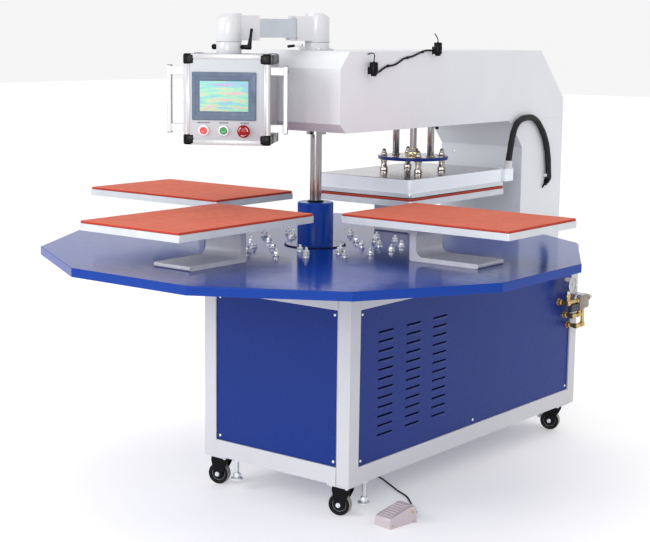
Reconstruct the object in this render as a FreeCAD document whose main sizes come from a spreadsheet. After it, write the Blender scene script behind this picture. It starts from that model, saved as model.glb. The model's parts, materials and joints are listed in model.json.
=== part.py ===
import FreeCAD, Part
import Sketcher
import math
import os
import re

# Four-station rotary heat press: a powered dodecagonal table carries four platens past one
# pneumatic pressing head. Lengths are millimetres. Every y below is measured from the
# carousel axis; the BASE frame then moves that axis to axis_y, so that the origin lies on
# the floor under the middle of the whole machine.

Vector = FreeCAD.Vector
Rotation = FreeCAD.Rotation
Placement = FreeCAD.Placement
UP = Vector(0, 0, 1)

DIMENSIONS = [
    # carousel
    ("axis_y", -226.5),
    ("table_apothem", 863.5),
    ("table_top", 835),
    ("table_rim", 27),
    ("table_skin", 4),
    ("hub_radius", 59.5),
    ("hub_top", 978),
    ("hub_flange_radius", 98),
    ("hub_flange_thick", 4),
    ("post_radius", 19),
    # stations
    ("platen_long", 600),
    ("platen_wide", 400),
    ("platen_reach", 558.6),
    ("platen_bottom", 950),
    ("platen_thick", 21),
    ("pad_thick", 8),
    ("bracket_inner", 430),
    ("bracket_long", 250),
    ("bracket_wide", 146),
    ("bracket_leg", 14),
    ("bracket_web", 24),
    # cabinet
    ("cabinet_wide", 614),
    ("cabinet_front", -205),
    ("cabinet_long", 1460),
    ("frame_bottom", 109),
    ("frame_top", 724),
    ("post_side", 50),
    ("low_rail", 58),
    ("tube_wall", 3),
    ("panel_thick", 3),
    ("panel_inset", 5),
    ("deck_thick", 8),
    # column and arm
    ("arm_wide", 360),
    ("arm_bottom", 1214),
    ("arm_top", 1470),
    ("arm_nose", -108),
    ("column_front", 1015),
    ("column_rear", 1316.5),
    ("shell_wall", 3),
    # press head
    ("heat_bottom", 982.5),
    ("heat_thick", 14),
    ("cover_top", 1042),
    ("disc_radius", 125),
    ("disc_bottom", 1085.5),
    ("disc_thick", 11),
    ("rod_radius", 12),
    ("rod_spacing", 75),
    ("bolt_spacing", 74),
    # rotary drive
    ("gear_bottom", 748),
    ("gear_high", 42),
    ("tooth_module", 5),
    ("ring_teeth", 60),
    ("pinion_teeth", 15),
    # controls
    ("box_wide", 270),
    ("box_deep", 190),
    ("box_bottom", 1181),
    ("box_high", 277),
    ("box_x", -116),
    ("box_y", -284),
    ("box_turn", 32.2),
    ("elbow_radius", 40),
    ("tube_bottom", 1510),
    ("tube_wide", 42),
    ("tube_high", 59),
    ("sleeve_wide", 52),
    ("sleeve_high", 78),
    # running gear
    ("wheel_radius", 37.5),
    ("wheel_wide", 30),
    ("caster_trail", 15),
    ("caster_x", 260),
    ("caster_front", -162),
    ("caster_rear", 1190),
    # pedal
    ("pedal_long", 122),
    ("pedal_wide", 66),
    ("pedal_x", 430),
    ("pedal_y", -118),
    ("pedal_turn", -8),
    ("gland_x", -60),
    ("gland_y", 258),
    ("cable_diameter", 6),
    ("conduit_diameter", 23),
]

doc = FreeCAD.newDocument("rotary_heat_press")
sheet = doc.addObject("Spreadsheet::Sheet", "dims")
for line, (alias, value) in enumerate(DIMENSIONS, 1):
    sheet.set("A%d" % line, alias)
    sheet.set("B%d" % line, str(value))
    sheet.setAlias("B%d" % line, alias)
doc.recompute()

ALIASES = {alias for alias, value in DIMENSIONS}
size = {alias: float(sheet.get(alias)) for alias in ALIASES}
BASE = Placement(Vector(0, size["axis_y"], 0), Rotation())
nodes = []


# ---------------------------------------------------------------- helpers

def bind(obj, **expressions):
    """Set properties from expressions in which every sheet alias may be used by name."""
    for prop, text in expressions.items():
        text = re.sub(r"[a-z]+(_[a-z]+)*", lambda m: "dims." + m[0] if m[0] in ALIASES else m[0], str(text))
        obj.setExpression(prop, text)
    return obj


def seat(obj, x=0, y=0, z=0, turn=None, frame=BASE):
    """Place an object in a frame, BASE unless another is given."""
    obj.Placement = frame.multiply(Placement(Vector(x, y, z), turn or Rotation()))
    return obj


def node(obj, label):
    """Name a finished sub-part; it is written out under this label."""
    obj.Label = label
    nodes.append(obj)
    return obj


def spin(degrees, axis=UP):
    return Rotation(axis, degrees)


def toward(direction):
    """Rotation that takes +Z to the given direction."""
    return Rotation(UP, Vector(*direction))


def box(dx, dy, dz, x=0, y=0, z=0, turn=None, frame=BASE):
    """Block centred on x and y that stands on z."""
    obj = bind(doc.addObject("Part::Box", "block"), Length=dx, Width=dy, Height=dz)
    doc.recompute()
    middle = Placement(Vector(-obj.Length.Value / 2, -obj.Width.Value / 2, 0), Rotation())
    seat(obj, x, y, z, turn, frame)
    obj.Placement = obj.Placement.multiply(middle)
    return obj


def cylinder(radius, height, x=0, y=0, z=0, turn=None, frame=BASE):
    obj = bind(doc.addObject("Part::Cylinder", "round"), Radius=radius, Height=height)
    return seat(obj, x, y, z, turn, frame)


def cone(low, high, height, x=0, y=0, z=0, turn=None, frame=BASE):
    obj = bind(doc.addObject("Part::Cone", "taper"), Radius1=low, Radius2=high, Height=height)
    return seat(obj, x, y, z, turn, frame)


def hexagon(across_flats, height, x=0, y=0, z=0, turn=None, frame=BASE):
    """Hexagonal prism, as on nuts and bolt heads."""
    obj = doc.addObject("Part::Prism", "hexagon")
    obj.Polygon = 6
    bind(obj, Circumradius="%s / sqrt(3)" % across_flats, Height=height)
    return seat(obj, x, y, z, turn, frame)


def fuse(*parts):
    obj = doc.addObject("Part::MultiFuse", "joined")
    obj.Shapes = list(parts)
    obj.Refine = True
    return obj


def cut(base, *tools):
    tool = tools[0] if len(tools) == 1 else group(*tools)
    obj = doc.addObject("Part::Cut", "cut")
    obj.Base = base
    obj.Tool = tool
    return obj


def group(*parts):
    """Separate solids that share one node."""
    obj = doc.addObject("Part::Compound", "group")
    obj.Links = list(parts)
    return obj


def rounded(base, radius, choose):
    """Fillet the edges of a Part object that the test picks."""
    doc.recompute()
    obj = doc.addObject("Part::Fillet", "rounded")
    obj.Base = base
    picked = [i for i, edge in enumerate(base.Shape.Edges, 1) if choose(edge)]
    obj.Edges = [(i, radius, radius) for i in picked]
    return obj


def upright(edge):
    """True for a straight edge along Z."""
    extent = edge.BoundBox
    return extent.ZLength > 1 and extent.XLength < 0.01 and extent.YLength < 0.01


def new_body(frame=BASE, x=0, y=0, z=0, turn=None):
    body = doc.addObject("PartDesign::Body", "body")
    seat(body, x, y, z, turn, frame)
    return body


def sketch(body, role="XY_Plane"):
    obj = body.newObject("Sketcher::SketchObject", "sketch")
    plane = next(f for f in body.Origin.OriginFeatures if f.Role == role)
    obj.AttachmentSupport = [(plane, "")]
    obj.MapMode = "FlatFace"
    return obj


def rectangle(body, wide, high, role="XY_Plane", x="0", y="0"):
    """Fully constrained rectangle with its centre at (x, y) in the sketch."""
    obj = sketch(body, role)
    corners = [Vector(-1, -1, 0), Vector(1, -1, 0), Vector(1, 1, 0), Vector(-1, 1, 0)]
    for i in range(4):
        obj.addGeometry(Part.LineSegment(corners[i], corners[(i + 1) % 4]))
    for i in range(4):
        obj.addConstraint(Sketcher.Constraint("Coincident", i, 2, (i + 1) % 4, 1))
    for i in (0, 2):
        obj.addConstraint(Sketcher.Constraint("Horizontal", i))
    for i in (1, 3):
        obj.addConstraint(Sketcher.Constraint("Vertical", i))
    placed = [
        ("DistanceX", 0, 1, 0, 2, wide),
        ("DistanceY", 1, 1, 1, 2, high),
    ]
    for kind, a, b, c, d, text in placed:
        number = obj.addConstraint(Sketcher.Constraint(kind, a, b, c, d, 2.0))
        bind(obj, **{"Constraints[%d]" % number: text})
    for kind, text, span in (("DistanceX", x, wide), ("DistanceY", y, high)):
        number = obj.addConstraint(Sketcher.Constraint(kind, -1, 1, 0, 1, -1.0))
        bind(obj, **{"Constraints[%d]" % number: "%s - (%s) / 2" % (text, span)})
    return obj


def circle(body, radius, role="XY_Plane", x=0, y=0):
    obj = sketch(body, role)
    obj.addGeometry(Part.Circle(Vector(x, y, 0), UP, 5))
    number = obj.addConstraint(Sketcher.Constraint("Radius", 0, 5.0))
    bind(obj, **{"Constraints[%d]" % number: radius})
    return obj


def outline(body, points, role="XY_Plane"):
    """Closed outline; a third value on a point rounds that corner with a tangent arc."""
    obj = sketch(body, role)
    for piece in rounded_path([p if len(p) == 3 else (p[0], p[1], 0) for p in points]):
        obj.addGeometry(piece)
    return obj


def rounded_path(points):
    """Lines and arcs round a closed polygon given as (x, y, corner radius)."""
    count = len(points)
    ends = []
    for i in range(count):
        here = Vector(points[i][0], points[i][1], 0)
        before = Vector(points[i - 1][0], points[i - 1][1], 0)
        after = Vector(points[(i + 1) % count][0], points[(i + 1) % count][1], 0)
        inward = (before - here).normalize()
        outward = (after - here).normalize()
        radius = points[i][2]
        half = inward.getAngle(outward) / 2
        back = radius / math.tan(half) if radius else 0
        bisector = (inward + outward)
        middle = here
        if radius:
            centre = here + bisector.normalize() * (radius / math.sin(half))
            middle = centre + (here - centre).normalize() * radius
        ends.append((here + inward * back, middle, here + outward * back, radius))
    pieces = []
    for i in range(count):
        start, middle, stop, radius = ends[i]
        if radius:
            pieces.append(Part.Arc(start, middle, stop))
        pieces.append(Part.LineSegment(stop, ends[(i + 1) % count][0]))
    return pieces


def feature(body, kind, profile, length=None, midplane=False, reverse=False, **extra):
    obj = body.newObject("PartDesign::" + kind, kind.lower())
    obj.Profile = profile
    if length is not None:
        bind(obj, Length=length)
        obj.Midplane = midplane
        obj.Reversed = reverse
    for prop, value in extra.items():
        setattr(obj, prop, value)
    return obj


def pad(body, profile, length, midplane=False, reverse=False):
    return feature(body, "Pad", profile, length, midplane, reverse)


def pocket(body, profile, length, midplane=False, reverse=False):
    """Pocket that must really remove material."""
    before = body.Tip
    doc.recompute()
    volume = before.Shape.Volume
    obj = feature(body, "Pocket", profile, length, midplane, reverse)
    doc.recompute()
    if obj.Shape.Volume > volume - 0.5:
        raise ValueError("a pocket in %s removes nothing" % body.Label)
    return obj


def soften(body, radius, choose, kind="Fillet"):
    """Fillet or chamfer the edges of the body's tip that the test picks."""
    doc.recompute()
    tip = body.Tip
    picked = ["Edge%d" % i for i, edge in enumerate(tip.Shape.Edges, 1) if choose(edge)]
    obj = body.newObject("PartDesign::" + kind, kind.lower())
    obj.Base = (tip, picked)
    if kind == "Fillet":
        obj.Radius = radius
    else:
        obj.Size = radius
    body.Tip = obj
    return obj


def around(body, original, count):
    """Repeat a feature round the body's Z axis."""
    obj = body.newObject("PartDesign::PolarPattern", "round")
    obj.Originals = [original]
    axis = next(f for f in body.Origin.OriginFeatures if f.Role == "Z_Axis")
    obj.Axis = (axis, [""])
    obj.Angle = 360
    obj.Occurrences = count
    body.Tip = obj
    return obj


def revolve(body, points, role="XZ_Plane"):
    """Full turn of an outline round the body's Z axis."""
    profile = outline(body, points, role)
    axis = next(f for f in body.Origin.OriginFeatures if f.Role == "Z_Axis")
    obj = body.newObject("PartDesign::Revolution", "revolution")
    obj.Profile = profile
    obj.ReferenceAxis = (axis, [""])
    obj.Angle = 360
    return obj


def tube_along(label, points, diameter):
    """Round tube of straight runs joined by tangent arcs, each arc as large as its runs allow."""
    route = [BASE.multVec(Vector(*p)) for p in points]
    edges = []
    last = route[0]
    radii = []
    for before, here, after in zip(route, route[1:], route[2:]):
        inward = (here - before)
        outward = (after - here)
        turn = inward.getAngle(outward)
        back = 0.45 * min(inward.Length, outward.Length)
        radii.append(back / math.tan(turn / 2))
        start = here - inward.normalize() * back
        stop = here + outward.normalize() * back
        centre_way = (outward - inward).normalize()
        centre = here + centre_way * math.hypot(back, radii[-1])
        middle = centre - centre_way * radii[-1]
        edges.append(Part.LineSegment(last, start).toShape())
        edges.append(Part.Arc(start, middle, stop).toShape())
        last = stop
    edges.append(Part.LineSegment(last, route[-1]).toShape())
    path = Part.Wire(edges)
    section = Part.Wire(Part.Circle(route[0], route[1] - route[0], diameter / 2).toShape())
    shape = path.makePipeShell([section], True, False)
    expected = math.pi * (diameter / 2) ** 2 * path.Length
    print(label, "length %.0f mm, radii" % path.Length, [round(r) for r in radii],
          "volume ratio %.4f" % (shape.Volume / expected))
    obj = doc.addObject("Part::Feature", "tube")
    obj.Shape = shape
    return node(obj, label)


# ---------------------------------------------------------------- table, hub and drive

def dodecagon(apothem):
    reach = apothem / math.cos(math.pi / 12)
    angles = [math.radians(15 + 30 * i) for i in range(12)]
    return [(reach * math.cos(a), reach * math.sin(a)) for a in angles]


def table_plate():
    """Tray of folded plate, its rim turned down, with twelve ribs and a hub disc under it."""
    hub_disc = 160
    rib_wide = 8
    body = new_body(z=size["table_top"] - size["table_rim"])
    pad(body, outline(body, dodecagon(size["table_apothem"])), "table_rim")
    pocket(body, outline(body, dodecagon(size["table_apothem"] - size["table_skin"])),
           "table_rim - table_skin", reverse=True)
    pad(body, circle(body, hub_disc), "table_rim - table_skin / 2")
    rib = pad(body, rectangle(body, "table_apothem - %s" % (hub_disc - 4), rib_wide,
                              x="(table_apothem + %s) / 2" % (hub_disc - 8)), "table_rim - table_skin / 2")
    around(body, rib, 12)
    pocket(body, circle(body, "post_radius + 5"), "table_rim", reverse=True)
    top = size["table_rim"]
    soften(body, 2.5, lambda e: e.BoundBox.ZMin > top - 0.01 and e.Length > 200)
    node(body, "table_plate")


def hub_sleeve():
    """Sleeve round the fixed post, with a flange that stands on the table."""
    bore = size["post_radius"] + 4
    base = size["table_top"]
    outer = size["hub_radius"]
    flange = size["hub_flange_radius"]
    thick = size["hub_flange_thick"]
    high = size["hub_top"] - base
    body = new_body(z=base)
    revolve(body, [(bore, 0), (flange, 0), (flange, thick, 1.5), (outer, thick, 3), (outer, high, 4),
                   (bore, high)])
    node(body, "hub_sleeve")


BEARING_INNER = 70
BEARING_OUTER = 118
RACE_RADIUS = 110
RUNNING_GAP = 0.05
PINION_SHAFT = 9


def tooth_root(teeth):
    """Root radius of a gear, 1.1 modules inside its pitch circle."""
    return size["tooth_module"] * (teeth / 2 - 1.1)


def gear_teeth(body, teeth, width, shift):
    """Straight-sided teeth, the first one turned by shift degrees from the body's X axis."""
    pitch = size["tooth_module"] * teeth / 2
    tip = pitch + 0.8 * size["tooth_module"]
    half = [(tooth_root(teeth) - 2, 4.9), (pitch, 3.5), (tip, 1.9)]
    points = [(r, -w) for r, w in half] + [(r, w) for r, w in reversed(half)]
    turn = math.radians(shift)
    turned = [(x * math.cos(turn) - y * math.sin(turn), x * math.sin(turn) + y * math.cos(turn))
              for x, y in points]
    tooth = pad(body, outline(body, turned), width)
    return around(body, tooth, teeth)


def ring_gear():
    """Geared outer ring of the slewing bearing, bolted under the table."""
    teeth = int(size["ring_teeth"])
    root = tooth_root(teeth)
    high = size["gear_high"]
    top = size["table_top"] - size["table_rim"] - size["gear_bottom"]
    seat_radius = 62
    body = new_body(z=size["gear_bottom"])
    revolve(body, [(RACE_RADIUS, 0), (root, 0), (root, top), (seat_radius, top), (seat_radius, high),
                   (RACE_RADIUS, high)])
    gear_teeth(body, teeth, high, 180.0 / teeth)
    node(body, "ring_gear")


def bearing_ring():
    """Fixed inner ring of the slewing bearing, on the deck."""
    deck_top = size["frame_top"] + size["deck_thick"]
    high = size["gear_bottom"] + size["gear_high"] - 2 - deck_top
    foot = 8
    race = RACE_RADIUS - RUNNING_GAP
    body = new_body(z=deck_top)
    revolve(body, [(BEARING_INNER, 0), (BEARING_OUTER, 0), (BEARING_OUTER, foot), (race, foot),
                   (race, high, 1),
                   (BEARING_INNER, high)])
    node(body, "bearing_ring")


def drive_pinion():
    """Pinion and motor shaft in one piece; it meshes with the ring towards the column."""
    teeth = int(size["pinion_teeth"])
    width = size["gear_high"] - 4
    shaft_long = 110
    body = new_body(y=drive_y(), z=size["gear_bottom"])
    pad(body, circle(body, tooth_root(teeth)), width)
    gear_teeth(body, teeth, width, -90)
    pad(body, circle(body, PINION_SHAFT), shaft_long, reverse=True)
    node(body, "drive_pinion")


def drive_y():
    return size["tooth_module"] * (size["ring_teeth"] + size["pinion_teeth"]) / 2


def index_motor():
    """Geared motor hung under the deck, its hollow output bearing round the pinion shaft."""
    top = size["frame_top"]
    y = drive_y()
    flange_side = 110
    flange_low = top - 14
    gearbox_low = top - 84
    motor_low = top - 204
    motor_radius = 42
    flange = box(flange_side, flange_side, top - flange_low, y=y, z=flange_low)
    gearbox = cylinder(motor_radius + 6, flange_low - gearbox_low, y=y, z=gearbox_low)
    motor = cylinder(motor_radius, gearbox_low - motor_low, y=y, z=motor_low)
    terminal = box(60, 34, 60, y=y + motor_radius + 8, z=motor_low + 24)
    shaft_bore = cylinder(PINION_SHAFT + RUNNING_GAP, 100, y=y, z=top - 100)
    node(cut(fuse(flange, gearbox, motor, terminal), shaft_bore), "index_motor")


def centre_post():
    """Fixed chromed post from the deck through the hub up into the arm."""
    low = size["frame_top"] + size["deck_thick"]
    high = size["arm_bottom"] + 60
    post = cylinder("post_radius", high - low, z=low)
    foot = cylinder(BEARING_INNER - 10, 10, z=low)
    collar_high = 14
    collar = cylinder(32, collar_high, z=size["arm_bottom"] - collar_high)
    node(fuse(post, foot, collar), "centre_post")


def hub_bolts():
    """Studs with washers and nuts in four clusters round the hub."""
    clusters = [(285, 12.5), (275, 33), (213, 14), (160, 24)]
    top = size["table_top"]
    bolts = []
    for diagonal in (45, 135, 225, 315):
        for radius, spread in clusters:
            for side in (-1, 1):
                angle = math.radians(diagonal + side * spread)
                x = radius * math.cos(angle)
                y = radius * math.sin(angle)
                washer = cylinder(12, 2.5, x, y, top)
                nut = hexagon(18, 9, x, y, top + 2, spin(diagonal))
                stud = cylinder(5, 22, x, y, top)
                bolts.append(fuse(washer, nut, stud))
    node(group(*bolts), "hub_bolts")


# ---------------------------------------------------------------- stations

def station(index):
    return BASE.multiply(Placement(Vector(), spin(90 * index)))


def bracket(index):
    """C-shaped casting that opens outward, seen along the tangent."""
    inner = size["bracket_inner"]
    outer = inner + size["bracket_long"]
    leg = size["bracket_leg"]
    web = size["bracket_web"]
    low = size["table_top"]
    high = size["platen_bottom"]
    body = new_body(station(index))
    pad(body, outline(body, [
        (inner, low, 6), (outer, low, 5), (outer, low + leg, 5), (inner + web, low + leg, 26),
        (inner + web, high - leg, 26), (outer, high - leg, 5), (outer, high, 5), (inner, high, 18),
    ], "XZ_Plane"), "bracket_wide", midplane=True)
    return body


def platen(index):
    body = new_body(station(index), x=size["platen_reach"], z=size["platen_bottom"])
    pad(body, rectangle(body, "platen_long", "platen_wide"), "platen_thick")
    soften(body, 4, upright)
    return body


def silicone_pad(index):
    body = new_body(station(index), x=size["platen_reach"], z=size["platen_bottom"] + size["platen_thick"])
    pad(body, rectangle(body, "platen_long - 2", "platen_wide - 2"), "pad_thick")
    soften(body, 5, upright)
    return body


def stations():
    node(group(*[bracket(i) for i in range(4)]), "platen_brackets")
    node(group(*[platen(i) for i in range(4)]), "platens")
    node(group(*[silicone_pad(i) for i in range(4)]), "silicone_pads")


# ---------------------------------------------------------------- cabinet

def cabinet_middle():
    return size["cabinet_front"] + size["cabinet_long"] / 2


def tube(dx, dy, dz, x, y, z, along):
    """Square tube, hollow along one axis."""
    inner = {"x": (dx, "%s - 2 * tube_wall" % dy, "%s - 2 * tube_wall" % dz, 0),
             "y": ("%s - 2 * tube_wall" % dx, dy, "%s - 2 * tube_wall" % dz, 0),
             "z": ("%s - 2 * tube_wall" % dx, "%s - 2 * tube_wall" % dy, dz, 0)}[along]
    lift = 0 if along == "z" else size["tube_wall"]
    return cut(box(dx, dy, dz, x, y, z), box(inner[0], inner[1], inner[2], x, y, z + lift))


def cabinet_frame():
    """Welded frame: four posts, four bottom rails, four top rails and the caster plates."""
    side = size["post_side"]
    x_post = size["cabinet_wide"] / 2 - side / 2
    y_front = size["cabinet_front"] + side / 2
    y_rear = size["cabinet_front"] + size["cabinet_long"] - side / 2
    bottom = size["frame_bottom"]
    top = size["frame_top"] - side
    tubes = []
    for y in (y_front, y_rear):
        for x in (-x_post, x_post):
            tubes.append(tube("post_side", "post_side", "frame_top - frame_bottom", x, y, bottom, "z"))
        low = tube("cabinet_wide - 2 * post_side", "post_side", "low_rail", 0, y, bottom, "x")
        tubes.append(cut(low, *foot_bores()))
        tubes.append(tube("cabinet_wide - 2 * post_side", "post_side", "post_side", 0, y, top, "x"))
    for x in (-x_post, x_post):
        y = cabinet_middle()
        low = tube("post_side", "cabinet_long - 2 * post_side", "low_rail", x, y, bottom, "y")
        tubes.append(cut(low, *foot_bores()))
        tubes.append(tube("post_side", "cabinet_long - 2 * post_side", "post_side", x, y, top, "y"))
    plates = [cut(box(84, 84, 6, x, y, bottom - 6), cylinder(8.05, 6, x, y, bottom - 6))
              for x, y in caster_places()]
    node(group(*tubes, *plates), "cabinet_frame")


def end_panel(y):
    wide = "cabinet_wide - 2 * post_side"
    high = "frame_top - post_side - frame_bottom - low_rail"
    return box(wide, "panel_thick", high, 0, y, size["frame_bottom"] + size["low_rail"])


def side_panel(side):
    """Side panel with three columns of twelve louvre slots."""
    wide = "cabinet_long - 2 * post_side"
    high = "frame_top - post_side - frame_bottom - low_rail"
    columns = [-8, 148, 303]
    lowest = 248
    pitch = 30.8
    slot_long = 83
    slot_high = 5
    x = side * (size["cabinet_wide"] / 2 - size["panel_inset"] - size["panel_thick"] / 2)
    panel = box("panel_thick", wide, high, x, cabinet_middle(), size["frame_bottom"] + size["low_rail"])
    slots = [box(12, slot_long, slot_high, x, y, lowest + pitch * row - slot_high / 2)
             for y in columns for row in range(12)]
    return cut(panel, *slots)


def panels():
    inset = size["panel_inset"] + size["panel_thick"] / 2
    front = size["cabinet_front"]
    node(group(end_panel(front + inset), end_panel(front + size["cabinet_long"] - inset)), "end_panels")
    node(group(side_panel(-1), side_panel(1)), "side_panels")
    floor = box("cabinet_wide - 2 * post_side", "cabinet_long - 2 * post_side", 3,
                0, cabinet_middle(), size["frame_bottom"] + 1)
    hole = cylinder(8, 10, size["gland_x"], size["gland_y"], size["frame_bottom"] - 2)
    node(cut(floor, hole), "floor_panel")


def panel_screws():
    """Pan-head screws at the panels' corners and on the column's front and side."""
    head = 5
    inset = 16
    low = size["frame_bottom"] + size["low_rail"] + inset
    high = size["frame_top"] - size["post_side"] - inset
    x_face = size["cabinet_wide"] / 2 - size["panel_inset"]
    y_face = size["cabinet_front"] + size["panel_inset"]
    y_back = size["cabinet_front"] + size["cabinet_long"] - size["panel_inset"]
    x_edge = size["cabinet_wide"] / 2 - size["post_side"] - inset
    y_near = size["cabinet_front"] + size["post_side"] + inset
    y_far = size["cabinet_front"] + size["cabinet_long"] - size["post_side"] - inset
    screws = []
    for z in (low, high):
        for x in (-x_edge, x_edge):
            screws.append(cylinder(head, 3, x, y_face, z, toward((0, -1, 0))))
            screws.append(cylinder(head, 3, x, y_back, z, toward((0, 1, 0))))
        for side in (-1, 1):
            for y in (y_near, cabinet_middle(), y_far):
                screws.append(cylinder(head, 3, side * x_face, y, z, toward((side, 0, 0))))
    for x in (-120, 120):
        screws.append(cylinder(head, 3, x, size["column_front"], 1080, toward((0, -1, 0))))
    node(group(*screws), "panel_screws")


def deck_plate():
    """Thick deck that carries the bearing, the motor and the column."""
    plate = box("cabinet_wide", "cabinet_long", "deck_thick", 0, cabinet_middle(), size["frame_top"])
    shaft_hole = cylinder(14, 20, y=drive_y(), z=size["frame_top"] - 4)
    cable_hole = cylinder(30, 20, y=size["column_front"] + 100, z=size["frame_top"] - 4)
    node(cut(plate, shaft_hole, cable_hole), "deck_plate")


def electrics_box():
    """Terminal enclosure on the inside of the rear panel, with its hinged-lid seam and glands."""
    wide = 320
    deep = 124
    high = 330
    low = 260
    gland_long = 18
    seam = 3
    y = size["cabinet_front"] + size["cabinet_long"] - size["panel_inset"] - size["panel_thick"] - deep / 2
    seam_y = y - 40
    shell = box(wide, deep, high, 0, y, low)
    lid_seam = cut(box(wide + 6, seam, high + 6, 0, seam_y, low - 3),
                   box(wide - 4, seam, high - 4, 0, seam_y, low + 2))
    glands = [cylinder(11, gland_long, x, y, low - gland_long) for x in (-90, -30, 30, 90)]
    node(fuse(cut(shell, lid_seam), *glands), "electrics_box")


# ---------------------------------------------------------------- column and arm

def hollow_shell(label, outer, inner):
    """Sheet-metal housing: an outline in the y-z plane, extruded across the machine."""
    body = new_body()
    pad(body, outline(body, outer, "YZ_Plane"), "arm_wide", midplane=True)
    pocket(body, outline(body, inner, "YZ_Plane"), "arm_wide - 2 * shell_wall", midplane=True)
    return node(body, label)


def column_shell():
    """Column housing with a slanted throat plate at its front; open at both ends."""
    wall = size["shell_wall"]
    top = size["arm_bottom"]
    bottom = size["frame_top"] + size["deck_thick"]
    front = size["column_front"]
    rear = size["column_rear"]
    throat_y = 917
    throat_z = 1112
    outer = [(throat_y, top), (front, throat_z), (front, bottom), (rear, bottom), (rear, top)]
    inner = [(throat_y + 2 * wall, top + 1), (front + wall, throat_z + wall), (front + wall, bottom - 1),
             (rear - wall, bottom - 1), (rear - wall, top + 1)]
    hollow_shell("column_shell", outer, inner)


def arm_shell():
    """Arm housing over the table, with bores for the post and the three press rods."""
    wall = size["shell_wall"]
    bottom = size["arm_bottom"]
    top = size["arm_top"]
    nose = size["arm_nose"]
    rear = size["column_rear"]
    outer = [(nose + 31, bottom), (nose, bottom + 29), (nose, top - 54), (nose + 47, top),
             (1133, top), (rear, 1287), (rear, bottom)]
    inner = [(nose + 33, bottom + wall), (nose + wall, bottom + 31), (nose + wall, top - 55),
             (nose + 49, top - wall), (1132, top - wall), (rear - wall, 1286), (rear - wall, bottom + wall)]
    body = hollow_shell("arm_shell", outer, inner)
    x_rod = size["rod_spacing"]
    y_rod = size["platen_reach"]
    for x, y, radius in ((0, 0, 20), (-x_rod, y_rod, 20), (x_rod, y_rod, 20), (0, y_rod, 30)):
        pocket(body, circle(body, radius, x=x, y=y), bottom + 10, reverse=True)
    cable_way = rectangle(body, "arm_wide - 60", 200, y="column_front + 150")
    pocket(body, cable_way, bottom + 10, reverse=True)


PISTON_RADIUS = 39.6


def press_cylinder():
    """Pneumatic cylinder inside the arm: barrel, end caps and a bore for the piston."""
    bottom = size["arm_bottom"] + size["shell_wall"]
    y = size["platen_reach"]
    barrel_radius = 46
    barrel_high = 215
    cap_high = 14
    bore_high = 192
    flange = box(108, 130, 12, 0, y, bottom)
    barrel = cylinder(barrel_radius, barrel_high, 0, y, bottom)
    bore = cylinder(PISTON_RADIUS + 0.4, bore_high, 0, y, bottom + cap_high)
    rod_hole = cylinder("rod_radius + 0.05", 40, 0, y, bottom - 2)
    port = cylinder(8, 18, barrel_radius - 6, y, bottom + bore_high - 2, toward((1, 0, 0)))
    node(cut(fuse(flange, barrel, port), bore, rod_hole), "press_cylinder")


def guide_bushes():
    """Flanged bushes for the two guide rods, seated in the arm's underside."""
    bottom = size["arm_bottom"]
    bushes = []
    for side in (-1, 1):
        x = side * size["rod_spacing"]
        y = size["platen_reach"]
        flange = cylinder(26, 5, x, y, bottom - 5)
        sleeve = cylinder(19.5, 60, x, y, bottom - 5)
        bushes.append(cut(fuse(flange, sleeve), cylinder("rod_radius + 0.05", 70, x, y, bottom - 6)))
    node(group(*bushes), "guide_bushes")


# ---------------------------------------------------------------- press head

SOCKET_HIGH = 22


def heat_platen():
    body = new_body(y=size["platen_reach"], z=size["heat_bottom"])
    pad(body, rectangle(body, "platen_wide", "platen_long"), "heat_thick")
    soften(body, 10, upright)
    node(body, "heat_platen")


def platen_cover():
    """Hollow insulated cover over the heater, with the cable box behind its corner."""
    high = size["cover_top"] - size["heat_bottom"] - size["heat_thick"]
    body = new_body(y=size["platen_reach"], z=size["heat_bottom"] + size["heat_thick"])
    pad(body, rectangle(body, "platen_wide - 8", "platen_long - 8"), high)
    soften(body, 12, upright)
    pad(body, rectangle(body, 60, 60, x="176", y="platen_long / 2 + 24"), high)
    pocket(body, rectangle(body, "platen_wide - 16", "platen_long - 16"), high - 4, reverse=True)
    x, y = conduit_foot()
    socket = cylinder(13, SOCKET_HIGH, x, y, size["cover_top"] - 1)
    node(fuse(body, socket), "platen_cover")


def pressure_disc():
    y = size["platen_reach"]
    disc = cylinder("disc_radius", "disc_thick", 0, y, size["disc_bottom"])
    doc.recompute()
    node(rounded(disc, 2, lambda e: e.Length > 100), "pressure_disc")


def adjusting_bolts():
    """Four long bolts: hexagon foot, spacer tube, washer under the disc, capped nut above it."""
    low = size["cover_top"]
    disc = size["disc_bottom"]
    top = disc + size["disc_thick"]
    bolts = []
    for dx in (-1, 1):
        for dy in (-1, 1):
            x = dx * size["bolt_spacing"]
            y = size["platen_reach"] + dy * size["bolt_spacing"]
            foot = hexagon(25, 14, x, y, low)
            spacer = cylinder(10, disc - low, x, y, low)
            washer = cylinder(14, 3, x, y, disc - 3)
            nut = hexagon(18, 12, x, y, top)
            cap = cone(8, 5, 14, x, y, top + 12)
            bolts.append(fuse(foot, spacer, washer, nut, cap))
    node(group(*bolts), "adjusting_bolts")


def piston_rod():
    """Centre rod with its coupling nut on the disc and the piston at its upper end."""
    low = size["disc_bottom"] + size["disc_thick"]
    y = size["platen_reach"]
    piston_low = size["arm_bottom"] + size["shell_wall"] + 26
    rod = cylinder("rod_radius", piston_low - low + 10, 0, y, low)
    coupling = hexagon(36, 26, 0, y, low)
    collar = cylinder(21, 5, 0, y, low)
    piston = cylinder(PISTON_RADIUS, 24, 0, y, piston_low)
    node(fuse(rod, coupling, collar, piston), "piston_rod")


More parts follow.
